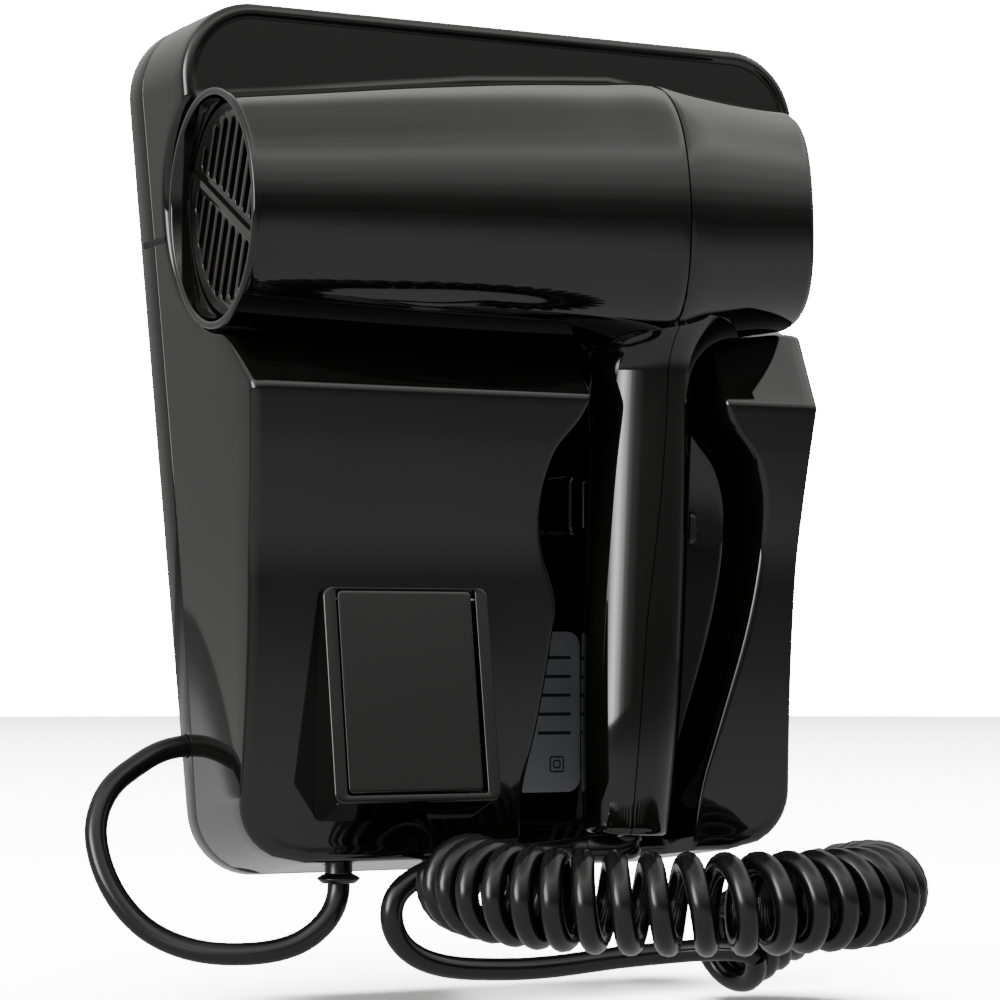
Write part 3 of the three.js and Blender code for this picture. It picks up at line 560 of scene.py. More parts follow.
def densify(points, step):
    out = [points[0]]
    for a, b in zip(points, points[1:]):
        n = max(1, int(math.ceil(np.linalg.norm(b - a) / step)))
        out.extend(a + (b - a) * k / n for k in range(1, n + 1))
    return np.array(out)


class FrontSection:
    """Height and depth of the cover's front along one upright line, as rows that keep to its edges."""

    def __init__(self, inset, panel_depth):
        foot_slope = (WAIST[1] - FOOT[1]) / (WAIST[0] - FOOT[0])
        start = (FOOT[0] + inset, FOOT[1] + foot_slope * inset)
        path = rounded_path([start, WAIST, SHOULDER, (27.3, LIP_DEPTH)], [0, 170, 3.2, 0], 9)
        self.face = densify(path[:-1], 1.7)
        self.panel = panel_depth
        self.top = 120 - inset
        self.slope_rows, self.lip_rows, self.trough_rows, self.edge_rows, self.panel_rows = 9, 6, 54, 6, 30

    def count(self):
        curved = self.slope_rows + self.lip_rows + self.trough_rows
        return len(self.face) + curved + self.edge_rows + self.panel_rows

    def rows(self, x):
        """Heights and depths, one row of values for each row index; x holds each point's own place."""
        radius = np.interp(x - AXIS[0], *TROUGH_RADIUS)
        centre = AXIS[2] + math.tan(BARREL_TILT) * (x - AXIS[0]) + np.interp(x - AXIS[0], *TROUGH_LIFT)
        z, d = np.zeros_like(x), np.zeros_like(x)
        n = len(self.face)
        z[:n], d[:n] = self.face[:, :1], self.face[:, 1:]
        fillet, corner = 2.2, 2.0
        lip = centre - radius
        from_z, from_d = self.face[-1]
        length = np.hypot(lip - from_z, LIP_DEPTH - from_d)
        start_z = lip - (lip - from_z) / length * fillet
        start_d = LIP_DEPTH - (LIP_DEPTH - from_d) / length * fillet
        for k in range(self.slope_rows):
            share = (k + 1) / self.slope_rows
            z[n + k] = (from_z + (start_z - from_z) * share)[n + k]
            d[n + k] = (from_d + (start_d - from_d) * share)[n + k]
        n += self.slope_rows
        first = fillet / radius
        end_z, end_d = centre - radius * np.cos(first), LIP_DEPTH - radius * np.sin(first)
        for k in range(self.lip_rows):
            t = (k + 1) / self.lip_rows
            z[n + k] = ((1 - t) ** 2 * start_z + 2 * t * (1 - t) * lip + t * t * end_z)[n + k]
            d[n + k] = ((1 - t) ** 2 * start_d + 2 * t * (1 - t) * LIP_DEPTH + t * t * end_d)[n + k]
        n += self.lip_rows
        opening = np.arccos((LIP_DEPTH - self.panel) / radius)
        last = math.pi / 2 + opening - corner / radius
        for k in range(self.trough_rows):
            angle = first + (last - first) * (k + 1) / self.trough_rows
            z[n + k] = (centre - radius * np.cos(angle))[n + k]
            d[n + k] = (LIP_DEPTH - radius * np.sin(angle))[n + k]
        n += self.trough_rows
        edge = centre + radius * np.sin(opening)
        arc_z, arc_d = centre - radius * np.cos(last), LIP_DEPTH - radius * np.sin(last)
        for k in range(self.edge_rows):
            t = (k + 1) / self.edge_rows
            z[n + k] = ((1 - t) ** 2 * arc_z + 2 * t * (1 - t) * edge + t * t * (edge + corner))[n + k]
            d[n + k] = ((1 - t) ** 2 * arc_d + 2 * t * (1 - t) * self.panel + t * t * self.panel)[n + k]
        n += self.edge_rows
        for k in range(self.panel_rows):
            share = math.sin(math.pi / 2 * (k + 1) / self.panel_rows)
            z[n + k] = (edge + corner + (self.top - edge - corner) * share)[n + k]
            d[n + k] = self.panel
        return z, d


def wall_band(knees, radii):
    """Sideways place and share of the drop for each column down a recess wall, through its knees."""
    width, height = knees[-1]
    path = rounded_path([(-12, 0), (0, 0), *knees, (width + 14, height)], [0, *radii, 0], 8)
    path = densify(path[1:-1], 2.4)
    return path[:, 0], path[:, 1] / height


# The recess floor stays flat as far as this, to clear the label.
LABEL_CLEAR = 32.5


def cover_shape():
    """Grid of places over the cover: outline, rim, places across, heights, depths and raised rim."""
    s = sizes("holder_sizes")
    outline, inset = Outline(), 4.5
    section = FrontSection(inset, s["panel_depth"])
    floor = s["recess_floor"]
    left_x, left_drop = wall_band([(1.6, 35)], [1.6, 2.5])
    right_x, right_drop = wall_band([(3, 16.5), (21, 22.5), (31, 35)], [2.2, 4, 10, 9])
    lands = 110, 34, 30
    kinds = ([("left", t) for t in np.linspace(0, 1, lands[0])[:-1]] + [("lw", k) for k in range(len(left_x))]
             + [("floor", t) for t in np.linspace(0, 1, lands[1])[1:-1]]
             + [("rw", k) for k in range(len(right_x))[::-1]] + [("right", t)
                                                                 for t in np.linspace(0, 1, lands[2])[1:]])
    rows, columns = section.count(), len(kinds)
    drop_share = np.array([{"lw": left_drop, "rw": right_drop}[kind][t] if kind in ("lw", "rw")
                           else (1.0 if kind == "floor" else 0.0) for kind, t in kinds])
    x = np.tile(np.linspace(-90, 90, columns), (rows, 1))
    for _ in range(6):
        z, depth = section.rows(x)
        real_z = np.where(z < 0, z * (1 - BOTTOM_DRAFT * 60 / 120), z)
        stretch = 1 / outline.lean_at(z, 60)
        mouth_left = spline(*RECESS_LEFT, real_z) * stretch
        mouth_right = spline(*RECESS_RIGHT, real_z) * stretch
        half = outline.half_width(z, inset)
        place = np.zeros_like(x)
        room = np.minimum(mouth_right - mouth_left - left_x[-1] - 5, mouth_right - LABEL_CLEAR) / right_x[-1]
        squeeze = np.clip(room, 0.2, 1)
        inner_left, inner_right = mouth_left + left_x[-1], mouth_right - right_x[-1] * squeeze
        for j, (kind, t) in enumerate(kinds):
            if kind == "left":
                place[:, j] = (-half + (mouth_left + left_x[0] + half) * t)[:, j]
            elif kind == "lw":
                place[:, j] = (mouth_left + left_x[t])[:, j]
            elif kind == "floor":
                place[:, j] = (inner_left + (inner_right - inner_left) * t)[:, j]
            elif kind == "rw":
                place[:, j] = (mouth_right - right_x[t] * squeeze)[:, j]
            else:
                start = mouth_right - right_x[0] * squeeze
                place[:, j] = (start + (half - start) * t)[:, j]
        undrafted = place
        x = place * outline.lean_at(z, depth)
    deepest = rows - section.panel_rows - section.edge_rows - section.trough_rows // 2
    below = (np.arange(rows) < deepest)[:, None]
    depth = depth - np.maximum(depth - floor, 0) * drop_share[None, :] * below
    panel = np.zeros(rows)
    panel[rows - section.panel_rows:] = 1
    panel[rows - section.panel_rows - section.edge_rows:rows - section.panel_rows] = np.linspace(0, 1,
            section.edge_rows) ** 2
    bead = panel[:, None] * np.ones_like(depth)
    return outline, inset, s["edge"], s["back_depth"] + GAP, undrafted, z, depth, bead


def edge_profile(radius, inset):
    """The front edge as (inset, fall from the face, fall from the panel's raised rim)."""
    profile = [(inset, 0.0, 1.0), (inset - 0.5, 0.0, 0.97), (inset - 0.9, 0.0, 0.72), (inset - 1.3, 0.0, 0.3),
               (inset - 1.7, 0.0, 0.06)]
    for k in range(9):
        a = math.radians(90 - 90 * k / 8)
        profile.append((radius * (1 - math.cos(a)), radius * (1 - math.sin(a)), 0.0))
    return profile


def cover_skin():
    outline, inset, radius, rim, x, z, depth, bead = cover_shape()
    rows, columns = x.shape
    inner = np.stack(outline.drafted(x, z, depth - bead), -1)
    points = [tuple(p) for p in inner.reshape(-1, 3)]
    faces = []
    for i in range(rows - 1):
        for j in range(columns - 1):
            a = i * columns + j
            faces.append([a, a + 1, a + columns + 1, a + columns])
    border = ([(0, j) for j in range(columns)] + [(i, columns - 1) for i in range(1, rows)]
              + [(rows - 1, j) for j in range(columns - 2, -1, -1)] + [(i, 0)
                                                                       for i in range(rows - 2, 0, -1)])
    normals = []
    for i, j in border:
        if i == 0 or i == rows - 1:
            normals.append(np.array([0.0, -1.0 if i == 0 else 1.0]))
        else:
            n = outline.normal(abs(x[i, j]), z[i, j], inset)
            normals.append(np.array([math.copysign(n[0], x[i, j]), n[1]]))
    normals = np.array(normals)
    bx = np.array([x[i, j] for i, j in border])
    bz = np.array([z[i, j] for i, j in border])
    bd = np.array([depth[i, j] for i, j in border])
    share = np.array([bead[i, j] for i, j in border])
    rings = []
    for e, fall, bead_fall in edge_profile(radius, inset)[1:]:
        rings.append((e, bd - fall - bead_fall * share))
    wall_top = bd - radius
    for k in range(1, 7):
        rings.append((0.0, wall_top + (rim - wall_top) * k / 6))
    rings.append((WALL, np.full_like(bd, rim)))
    rings.append((WALL, np.full_like(bd, rim + 1.5)))
    previous = [i * columns + j for i, j in border]
    count = len(border)
    for e, d in rings:
        px, pz = bx + normals[:, 0] * (inset - e), bz + normals[:, 1] * (inset - e)
        place = np.stack(outline.drafted(px, pz, d), -1)
        base = len(points)
        points.extend(map(tuple, place))
        now = list(range(base, base + count))
        for k in range(count):
            n = (k + 1) % count
            faces.append([previous[k], now[k], now[n], previous[n]])
        previous = now
    return points, faces


# ---- places shared by the pieces on the cover ----
SOCKET = {"x": -39.8, "width": 48.3, "top": -39.5, "sill": -95.0, "rise_top": 1.6, "rise_sill": 14.5}
LID = {"left": -59.9, "right": -20.5, "top": -40.3, "bottom": -94.3}
HINGE = (-61.14, -42.8)
SUPPLY_EXIT, CURLY_EXIT = (-52.5, -46.0), (-21.0, -40.0)
NOTCH = (-5.9, -83.0)
PLUNGER = {"x": 24.0, "z": -15.0, "width": 8.0, "height": 18.0, "tip": 40.0}
LATCH = (55.6, 57.4)
KEYHOLE = {"x": 45, "head": 4.6, "neck": 2.3, "head_z": 78, "top_z": 88}
COVER_SCREWS = ((-80, 107), (80, 107), (-67.5, -98), (64.5, -98))


def face_depth(z):
    """Depth of the long front face below its waist."""
    waist = -31
    slope = (WAIST[1] - FOOT[1]) / (waist - FOOT[0])
    return WAIST[1] + slope * (z - waist)


def socket_front(z):
    """Depth of the socket housing's front."""
    share = (SOCKET["top"] - z) / (SOCKET["top"] - SOCKET["sill"])
    return face_depth(z) + SOCKET["rise_top"] + (SOCKET["rise_sill"] - SOCKET["rise_top"]) * share


def floor_of_cover(y):
    """Height of the cover's underside."""
    return FOOT[0] + BOTTOM_DRAFT * -y


# ---- holder pieces ----
def make_cover():
    """The front cover's skin with its wall, the socket's well, the plunger's slot and the cord holes."""
    points, faces = cover_skin()
    piece = new_piece("front_cover_skin", points, faces, "gloss_black", "holder", ("front_cover",))
    thickened(piece, 1.9)
    wells = [box_solid(LID["left"] + 1, LID["right"] - 1, -90, -40, LID["bottom"] + 1, LID["top"] - 1)]
    slot = rounded_rectangle(PLUNGER["x"] - PLUNGER["width"] / 2 - GAP,
                             PLUNGER["x"] + PLUNGER["width"] / 2 + GAP,
                             PLUNGER["z"] - PLUNGER["height"] / 2 - GAP,
                             PLUNGER["z"] + PLUNGER["height"] / 2 + GAP, 3)
    wells.append(capped([[(x, y, z) for x, z in slot] for y in (-45, -15)]))
    for x, y in (SUPPLY_EXIT, CURLY_EXIT):
        angle = full_turn(24)
        wells.append(capped([[(x + 4.4 * math.cos(a), y + 4.4 * math.sin(a), z) for a in angle]
                             for z in (-125, -100)]))
    cut(piece, wells)
    return dress(piece, "gloss_black", "holder", ("front_cover",))


def make_back_plate():
    """The shallow tray against the wall, with its keyholes, screw holes and cord notch."""
    outline = Outline()
    depth = sizes("holder_sizes")["back_depth"]
    rings = []
    for inset, d in ((1.5, 0), (1.0, 0.02), (0.6, 0.18), (0.3, 0.55), (0.15, 1.1), (0.08, depth / 2),
                     (0, depth - 0.8),
                     (0.2, depth - 0.25), (0.6, depth), (WALL, depth), (WALL, depth - 2), (WALL, 2.5),
                     (WALL + 0.4, 2.5)):
        rings.append([tuple(float(v) for v in outline.drafted(x, z, d)) for x, z in outline.loop(inset)])
    points, faces = capped(rings)
    piece = new_piece("back_plate_skin", points, faces, "gloss_black", "holder", ("back_plate",))
    holes = []
    behind, within = 2, -4
    for x in (-KEYHOLE["x"], KEYHOLE["x"]):
        holes.append(rod_y(x, KEYHOLE["head_z"], KEYHOLE["head"], behind, within))
        holes.append(box_solid(x - KEYHOLE["neck"], x + KEYHOLE["neck"], behind, within,
                               KEYHOLE["head_z"] + 1, KEYHOLE["top_z"]))
        holes.append(rod_y(x, KEYHOLE["top_z"], KEYHOLE["neck"], behind, within))
        holes.append(box_solid(x - 2.4, x + 2.4, behind, within, -72, -64))
    for x, z in COVER_SCREWS:
        holes.append(rod_y(x, z, 3.1, behind, within))
    holes.append(rod_x(*NOTCH, 3.4, -100, -70))
    for hole in holes:
        cut(piece, [hole])
    return dress(piece, "gloss_black", "holder", ("back_plate",))


def make_socket():
    """The wedge-shaped socket housing with its well, the lid and the insert behind it."""
    edge = 0.5
    left, right = SOCKET["x"] - SOCKET["width"] / 2, SOCKET["x"] + SOCKET["width"] / 2

    def surface(loop, lift):
        return [(x, -(socket_front(max(z, SOCKET["sill"] - 1.5)) - lift), z) for x, z in loop]

    def outer(inset):
        return rounded_rectangle(left + inset, right - inset, SOCKET["sill"] - 1.6 + inset,
                                 SOCKET["top"] - inset, 2.6 - inset * 0.8)

    def well(inset):
        return rounded_rectangle(LID["left"] - 0.45 + inset, LID["right"] + 1.1 - inset,
                                 LID["bottom"] - 0.25 + inset,
                                 LID["top"] + 0.45 - inset * 0.3, 0.9)

    back = [(x, -face_depth(z) + 0.6, z if z > -90 else z - 5.4) for x, z in outer(0)]
    middle = [(x, -(face_depth(z) - 0.3 + 0.9 * (socket_front(max(z, -96.5)) - face_depth(z))),
               z - (0.4 if z < -90 else 0)) for x, z in outer(0)]
    rings = [back, middle, surface(outer(0), edge)]
    rings += [surface(outer(edge * (1 - math.cos(math.radians(a)))),
                      edge * (1 - math.sin(math.radians(a)))) for a in (22, 45, 67, 90)]
    rings += [surface(well(-0.3), 0), surface(well(-0.15), 0.05), surface(well(-0.05), 0.15),
              surface(well(0), 0.4)]
    rings += [surface(well(0), 5.6), surface(well(2.6), 5.6), surface(well(2.6), 6.6)]
    points, faces = rings_mesh(rings)
    housing = new_piece("socket_housing_skin", points, faces, "gloss_black", "holder", ("socket_housing",),
                        sharp=50)

    def lid_loop(inset):
        return rounded_rectangle(LID["left"] + inset, LID["right"] - inset, LID["bottom"] + inset,
                                 LID["top"] - inset, 1.4 - inset * 0.7)

    rings = [surface(lid_loop(0.4), 2.2), surface(lid_loop(0), 1.9), surface(lid_loop(0), 0.9),
             surface(lid_loop(0.12), 0.5),
             surface(lid_loop(0.4), 0.28), surface(lid_loop(0.8), 0.2), surface(lid_loop(1.2), 0.2)]
    points, faces = capped(rings)
    lid = new_piece("socket_lid_skin", points, faces, "gloss_black", "lid", ("socket_lid",), sharp=50)
    turn = np.arange(0, 7 * 2 * math.pi, math.pi / 8)
    coil = np.stack([SOCKET["x"] - 3.4 + turn / turn[-1] * 6.8, HINGE[0] + 0.62 * np.sin(turn),
                     HINGE[1] + 0.62 * np.cos(turn)], 1)
    new_piece("lid_spring_wire", *tube(coil, 0.18, 8), "steel", "holder", ("lid_spring",))
    pin = rod_x(*HINGE, 0.42, LID["left"] - 2, LID["right"] + 2, 20)
    new_piece("lid_hinge_rod", *pin, "steel", "holder", ("lid_hinge_pin",))

    x, z = SOCKET["x"], (LID["bottom"] + 4 + LID["top"] - 6) / 2
    profile = [(15.6, 54), (15.6, 56.2), (15.2, 56.8), (14.6, 57), (13.2, 57), (12.8, 56.9), (12.5, 56.4),
               (12.5, 55.2), (12.2, 55)]
    angle = full_turn(64)
    rings = [[(x + r * math.cos(a), -d, z + r * math.sin(a)) for a in angle] for r, d in profile]
    points, faces = capped([[(px, -52.0, pz) for px, _, pz in rings[0]]] + rings)
    insert = new_piece("socket_insert_face", points, faces, "satin_black", "holder")
    cut(insert, [rod_y(x + side * 6.65, z, 2.6, -60, -52.6) for side in (-1, 1)])
    dress(insert, "satin_black", "holder")
    return housing, lid, insert


def make_rest_switch():
    """The rounded plunger with a groove down its front."""
    half_w, half_h = PLUNGER["width"] / 2, PLUNGER["height"] / 2

    def loop(inset):
        return rounded_rectangle(PLUNGER["x"] - half_w + inset, PLUNGER["x"] + half_w - inset,
                                 PLUNGER["z"] - half_h + inset, PLUNGER["z"] + half_h - inset,
                                 max(3 - inset, 0.6))
    rings = [[(x, -13.0, z) for x, z in loop(0)]]
    for a in range(0, 91, 10):
        inset, fall = 2.0 * (1 - math.cos(math.radians(a))), 2.0 * (1 - math.sin(math.radians(a)))
        rings.append([(x, -(PLUNGER["tip"] - fall), z) for x, z in loop(inset)])
    rings.append([(x, -(PLUNGER["tip"] - 0.5), z) for x, z in loop(2.5)])
    rings.append([(x, -(PLUNGER["tip"] - 0.7), z) for x, z in loop(2.9)])
    points, faces = capped(rings)
    button = new_piece("rest_switch_button", points, faces, "gloss_black", "plunger",
                       ("rest_switch_plunger",))
    return button, make_rest_spring()


def make_rest_spring():
    """The wire spring behind the plunger, built at one fixed length; nothing here shortens it as the plunger
    is pressed.
    """
    low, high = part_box("rest_switch_spring")
    back, front = high.y / MM, low.y / MM
    wire, turns, travel = 0.45, 7, 3.0
    radius = (high.x - low.x) / MM / 2 - wire
    turn = np.linspace(0, turns * 2 * math.pi, turns * 20)
    along = back - wire + (front - back + 2 * wire) * turn / turn[-1]
    coil = np.stack([PLUNGER["x"] + radius * np.cos(turn), along, PLUNGER["z"] + radius * np.sin(turn)], 1)
    spring = new_piece("rest_switch_spring_wire", *tube(coil, wire, 8), "steel", "holder",
                       ("rest_switch_spring",))
    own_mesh(spring)
    return spring


def make_label():
    """A film label with round corners, plain printed bars and a double square."""
    low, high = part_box("rating_label")
    x0, x1, z0, z1 = low.x / MM, high.x / MM, low.z / MM, high.z / MM
    front = low.y / MM
    rings = [[(x, front + 0.4, z) for x, z in rounded_rectangle(x0, x1, z0, z1, 4)],
             [(x, front + 0.06, z) for x, z in rounded_rectangle(x0, x1, z0, z1, 4)],
             [(x, front, z) for x, z in rounded_rectangle(x0 + 0.1, x1 - 0.1, z0 + 0.1, z1 - 0.1, 3.9)]]
    points, faces = capped(rings)
    film = new_piece("rating_label_film", points, faces, "label_grey", "holder", ("rating_label",))
    bars = []
    for drop, length in ((7, 14), (12.4, 12), (17.8, 13.5), (23.2, 15), (28.6, 10.5)):
        bars.append(box_solid(x1 - 3 - length, x1 - 3, front + 0.02, front - 0.03, z1 - drop - 0.9,
                              z1 - drop))
    ink = 0.45
    for size in (4.2, 2.0):
        cx, cz = x1 - 7.5, z0 + 8
        half, back, face = size / 2, front + 0.02, front - 0.03
        for side in (-half, half):
            bars.append(box_solid(cx - half, cx + half, back, face, cz + side - ink / 2, cz + side + ink / 2))
            bars.append(box_solid(cx + side - ink / 2, cx + side + ink / 2, back, face,
                                  cz - half + ink / 2, cz + half - ink / 2))
    points, faces = joined(*bars)
    return film, new_piece("rating_label_print", points, faces, "label_ink", "holder")


def make_latch_painted_shade():
    """Painted shade: a near-black band round the side of the cover and the back plate, standing in for the
    shadow in the latch's groove.
    """
    outline = Outline()
    rings = []
    for z, proud in ((LATCH[0], -0.5), (LATCH[0], 0.12), (LATCH[0] + 0.25, 0.22), (LATCH[1] - 0.25, 0.22),
                     (LATCH[1], 0.12), (LATCH[1], -0.5)):
        ring = []
        for depth in np.linspace(3.5, 19, 14):
            x, y, _ = outline.drafted(float(outline.half_width(z, 0)), z, depth)
            ring.append((-(x + proud), y, z))
        rings.append(ring)
    turned = [[ring[k] for ring in rings] for k in range(len(rings[0]))]
    # painted shade: a near-black band standing slightly proud where the real cover has a shaded groove
    return new_piece("cover_latch_painted_shade", *capped(turned), "gap_black", "holder")


def make_grommets():
    """The two flanged rings where the cords leave the cover."""
    made = []
    for name, (x, y) in (("supply_grommet", SUPPLY_EXIT), ("curly_grommet", CURLY_EXIT)):
        z = floor_of_cover(y)
        profile = rounded_path([(3.2, z - 4), (3.2, z - 5.3), (4.6, z - 5.2), (6.1, z - 3.9),
                                (4.9, z - 3.1), (3.75, z - 2.6), (3.75, z + 3.6),
                                (5.4, z + 3.9), (5, z + 6), (3.3, z + 6), (3.2, z - 4)],
                                [0, 0.3, 0.6, 0.35, 0.6, 0.4, 0.2, 0.4, 0.4, 0.3, 0], 4)
        points, faces = lathe_z([(r, h) for r, h in profile[:-1]], (x, y))
        made.append(new_piece(f"{name}_ring", points, faces, "black_pvc", "holder", (name,)))
    return made


# ---- dryer ----
BARREL_X = np.array([math.cos(BARREL_TILT), 0, math.sin(BARREL_TILT)])
BARREL_Z = np.array([-math.sin(BARREL_TILT), 0, math.cos(BARREL_TILT)])
HANDLE_X = np.array([math.cos(HANDLE_TILT), 0, -math.sin(HANDLE_TILT)])
HANDLE_Z = np.array([math.sin(HANDLE_TILT), 0, math.cos(HANDLE_TILT)])
ACROSS = np.array([0.0, 1.0, 0.0])
BARREL = ([-131, -126, -108, -93.5, -78.8, -64, -49, -33, -18, -5, 0, 4.7, 14.6, 28, 39.8, 46],
          [30.5, 30.9, 32.3, 33.5, 34.7, 35.7, 36.6, 37.3, 37.8, 38.15, 37.7, 36.9, 35.3, 33.4, 32, 31.4])
HANDLE = ([-173.5, -160, -150, -132, -115, -98, -80, -60, -40, -20],
          [11.9, 12.8, 13.4, 14.1, 14.45, 14.5, 14.45, 14.25, 14.2, 14.2])
HANDLE_SEAM = ([-174, -161, -115, -99, -78, -60, -44, -20], [-4.1, -4.1, -3.4, -2.1, -0.5, 0.3, 0.2, 0.2])
HANDLE_END, NOZZLE_END = -173.5, -132.6


def barrel_point(along, radius, angle):
    """A point on a ring about the barrel's axis; angle 0 is the top and 90 degrees the front."""
    return AXIS + along * BARREL_X - radius * math.sin(angle) * ACROSS + radius * math.cos(angle) * BARREL_Z


def handle_point(height, radius, angle):
    """A point on a ring about the handle's axis; angle 0 is the rear and 90 degrees the front."""
    return AXIS + height * HANDLE_Z + radius * math.cos(angle) * HANDLE_X - radius * math.sin(angle) * ACROSS


def barrel_seam(angle):
    """Place along the barrel of the seam between the shells, which bows towards the nozzle at the sides."""
    middle, bow = -2, 5.5
    return middle - bow * (37.9 * math.sin(angle) / 37) ** 2


def rear_dome(y, z):
    """Place along the barrel of the crowned rear face."""
    return 45.4 - 11 * (y / 32) ** 2 - 2.4 * (z / 32) ** 2


def barrel_radius(along):
    return spline(*BARREL, np.asarray(along, float))


def barrel_front():
    """The barrel from its seam to the nozzle rim and back along the bore."""
    around = 144
    neck = -129.6
    outside = sizes("dryer_sizes")["nozzle_radius"]
    rim = rounded_path([(30.6, neck), (30.6, -130.7), (outside, -131.1), (outside, NOZZLE_END),
                        (29.9, NOZZLE_END), (28.9, -126.5), (28.5, -112)],
                       [0, 0.4, 0.4, 0.7, 0.8, 1.5, 0], 5)
    seam = sizes("dryer_sizes")["seam"]
    rings = []
    for k in range(58):
        share = 1 - k / 57
        ring = []
        for a in full_turn(around):
            end = barrel_seam(a) - seam / 2 - 0.3
            along = neck + (end - neck) * share
            ring.append(barrel_point(along, float(barrel_radius(along)), a))
        rings.append(ring)
    lip = []
    for inset, back in ((1.6, 0.0), (0.3, 0.0), (0.09, 0.09)):
        lip.append([barrel_point(barrel_seam(a) - seam / 2 - back,
                                 float(barrel_radius(barrel_seam(a))) - inset, a)
                    for a in full_turn(around)])
    rings = lip + rings
    for radius, along in rim[1:]:
        rings.append([barrel_point(along, radius, a) for a in full_turn(around)])
    inner = [[barrel_point(along, radius, a) for a in full_turn(around)]
             for radius, along in ((31.5, -60), (34.5, -20))]
    closing = [[barrel_point(barrel_seam(a) - seam / 2 - 1.2, 35.6, a) for a in full_turn(around)]]
    rings += inner + closing + [rings[0]]
    return rings_mesh(rings)


def barrel_rear():
    """The rear cap's skin: from the seam over the crowned rear face, closed at the middle; make_rear_shell
    gives it its wall.
    """
    around = 144
    turns = full_turn(around)
    seam = sizes("dryer_sizes")["seam"]
    edge = 3.2

    def face_end(a, r):
        return rear_dome(r * math.sin(a), r * math.cos(a))
    rings = [[barrel_point(barrel_seam(a) + seam / 2 + back, float(barrel_radius(barrel_seam(a))) - inset,
                           a) for a in turns]
             for inset, back in ((1.6, 0.0), (0.3, 0.0), (0.09, 0.09))]
    for k in range(24):
        share = k / 23
        ring = []
        for a in turns:
            start = barrel_seam(a) + seam / 2 + 0.3
            end = face_end(a, 30) - edge
            along = start + (end - start) * share
            ring.append(barrel_point(along, float(barrel_radius(along)), a))
        rings.append(ring)
    for k in range(1, 9):
        t = math.radians(90 * k / 8)
        ring = []
        for a in turns:
            base = face_end(a, 30) - edge
            outer = float(barrel_radius(base))
            radius = outer - edge * (1 - math.cos(t))
            lean = face_end(a, outer - edge) - (face_end(a, 30))
            ring.append(barrel_point(base + (edge + lean) * math.sin(t), radius, a))
        rings.append(ring)
    for radius in (27.5, 26, 22, 17, 12, 7, 3, 0.6):
        rings.append([barrel_point(face_end(a, radius), radius, a) for a in turns])
    points, faces = rings_mesh(rings, cap_end=True)
    return points, faces


def handle_half(front):
    """One half of the handle, with its flare up to the barrel and its foot."""
    flare = sizes("dryer_sizes")["handle_flare"]
    seam = sizes("dryer_sizes")["seam"]
    arc = 46
    heights = list(np.linspace(-150, -58, 44))
    foot = [(4.4, HANDLE_END + 3), (4.4, HANDLE_END), (10.2, HANDLE_END), (10.95, HANDLE_END + 0.12),
            (11.5, HANDLE_END + 0.5), (11.85, HANDLE_END + 1.2)]
    low = list(np.linspace(HANDLE_END + 2.5, -152, 12))

    def ends(height, radius):
        offset = float(np.interp(height, *HANDLE_SEAM)) + (-seam / 2 if front else seam / 2)
        return math.acos(np.clip(offset / radius, -1, 1))

    def half_angles(height, radius):
        stop = ends(height, radius)
        return np.linspace(stop, 2 * math.pi - stop, arc) if front else np.linspace(-stop, stop, arc)

    def row(height_of, radius_of, at):
        guess = half_angles(at, radius_of(math.pi / 2))
        return [handle_point(height_of(a), radius_of(a), a) for a in guess]

    rings = []
    for radius, height in foot:
        rings.append(row(lambda a: height, lambda a: radius, height))
    for height in low + heights:
        radius = float(spline(*HANDLE, height))
        rings.append(row(lambda a: height, lambda a: radius, height))
    root = 14.2
    for k in range(1, 19):
        t = k / 18

        def flare_of(a):
            reach = flare * (1.0 + 0.45 * max(math.cos(a), 0) ** 2)
            outer = root + reach

            def barrel_under(rho):
                across, along = rho * math.sin(a), rho * math.cos(a)
                return -math.sqrt(max(float(barrel_radius(along)) ** 2 - across ** 2, 1.0))
            tip = barrel_under(outer)
            slope = (barrel_under(outer + 0.4) - barrel_under(outer - 0.4)) / 0.8
            knee = tip - slope * reach
            start = knee - reach
            return reach, tip, knee, start

        def radius_of(a):
            return root + flare_of(a)[0] * t * t

        def height_of(a):
            _, tip, knee, start = flare_of(a)
            return (1 - t) ** 2 * start + 2 * t * (1 - t) * knee + t * t * (tip + 0.12)
        rings.append(row(height_of, radius_of, -52))
    lipped = []
    for ring in rings:
        centre = (ring[0] + ring[-1]) / 2
        inward = [p + (centre - p) / np.linalg.norm(centre - p) * 1.4 for p in (ring[0], ring[-1])]
        lipped.append([inward[0]] + ring + [inward[1]])
    return rings_mesh(lipped, closed=False)


def make_front_shell():
    body = barrel_front()
    handle = handle_half(True)
    piece = new_piece("dryer_front_skin", *body, "gloss_black", "dryer", ("dryer_front_shell",))
    grip = new_piece("dryer_front_grip", *handle, "gloss_black", "dryer")
    thickened(grip, 1.6)
    return piece, dress(grip, "gloss_black", "dryer")


def make_rear_shell():
    points, faces = barrel_rear()
    piece = new_piece("dryer_rear_skin", points, faces, "gloss_black", "dryer", ("dryer_rear_shell",))
    thickened(piece, 1.8)
    slots = []
    for k in range(-3, 4):
        half = math.sqrt(22 ** 2 - (k * 6.6) ** 2)
        loop = rounded_rectangle(-half, half, k * 6.6 - 1.5, k * 6.6 + 1.5, 1.45, 6)
        slots.append(capped([[tuple(AXIS + along * BARREL_X + y * ACROSS + z * BARREL_Z) for y, z in loop]
                             for along in (30, 52)]))
    cut(piece, slots)
    grip = new_piece("dryer_rear_grip", *handle_half(False), "gloss_black", "dryer")
    thickened(grip, 1.6)
    loop = rounded_rectangle(-3.4, 3.4, -98, -76, 3.2, 8)
    cut(grip, [capped([[tuple(AXIS + x * HANDLE_X + y * ACROSS + z * HANDLE_Z) for y, z in loop]
                       for x in (9, 20)])])
    return dress(piece, "gloss_black", "dryer", ("dryer_rear_shell",)), dress(grip, "gloss_black", "dryer")


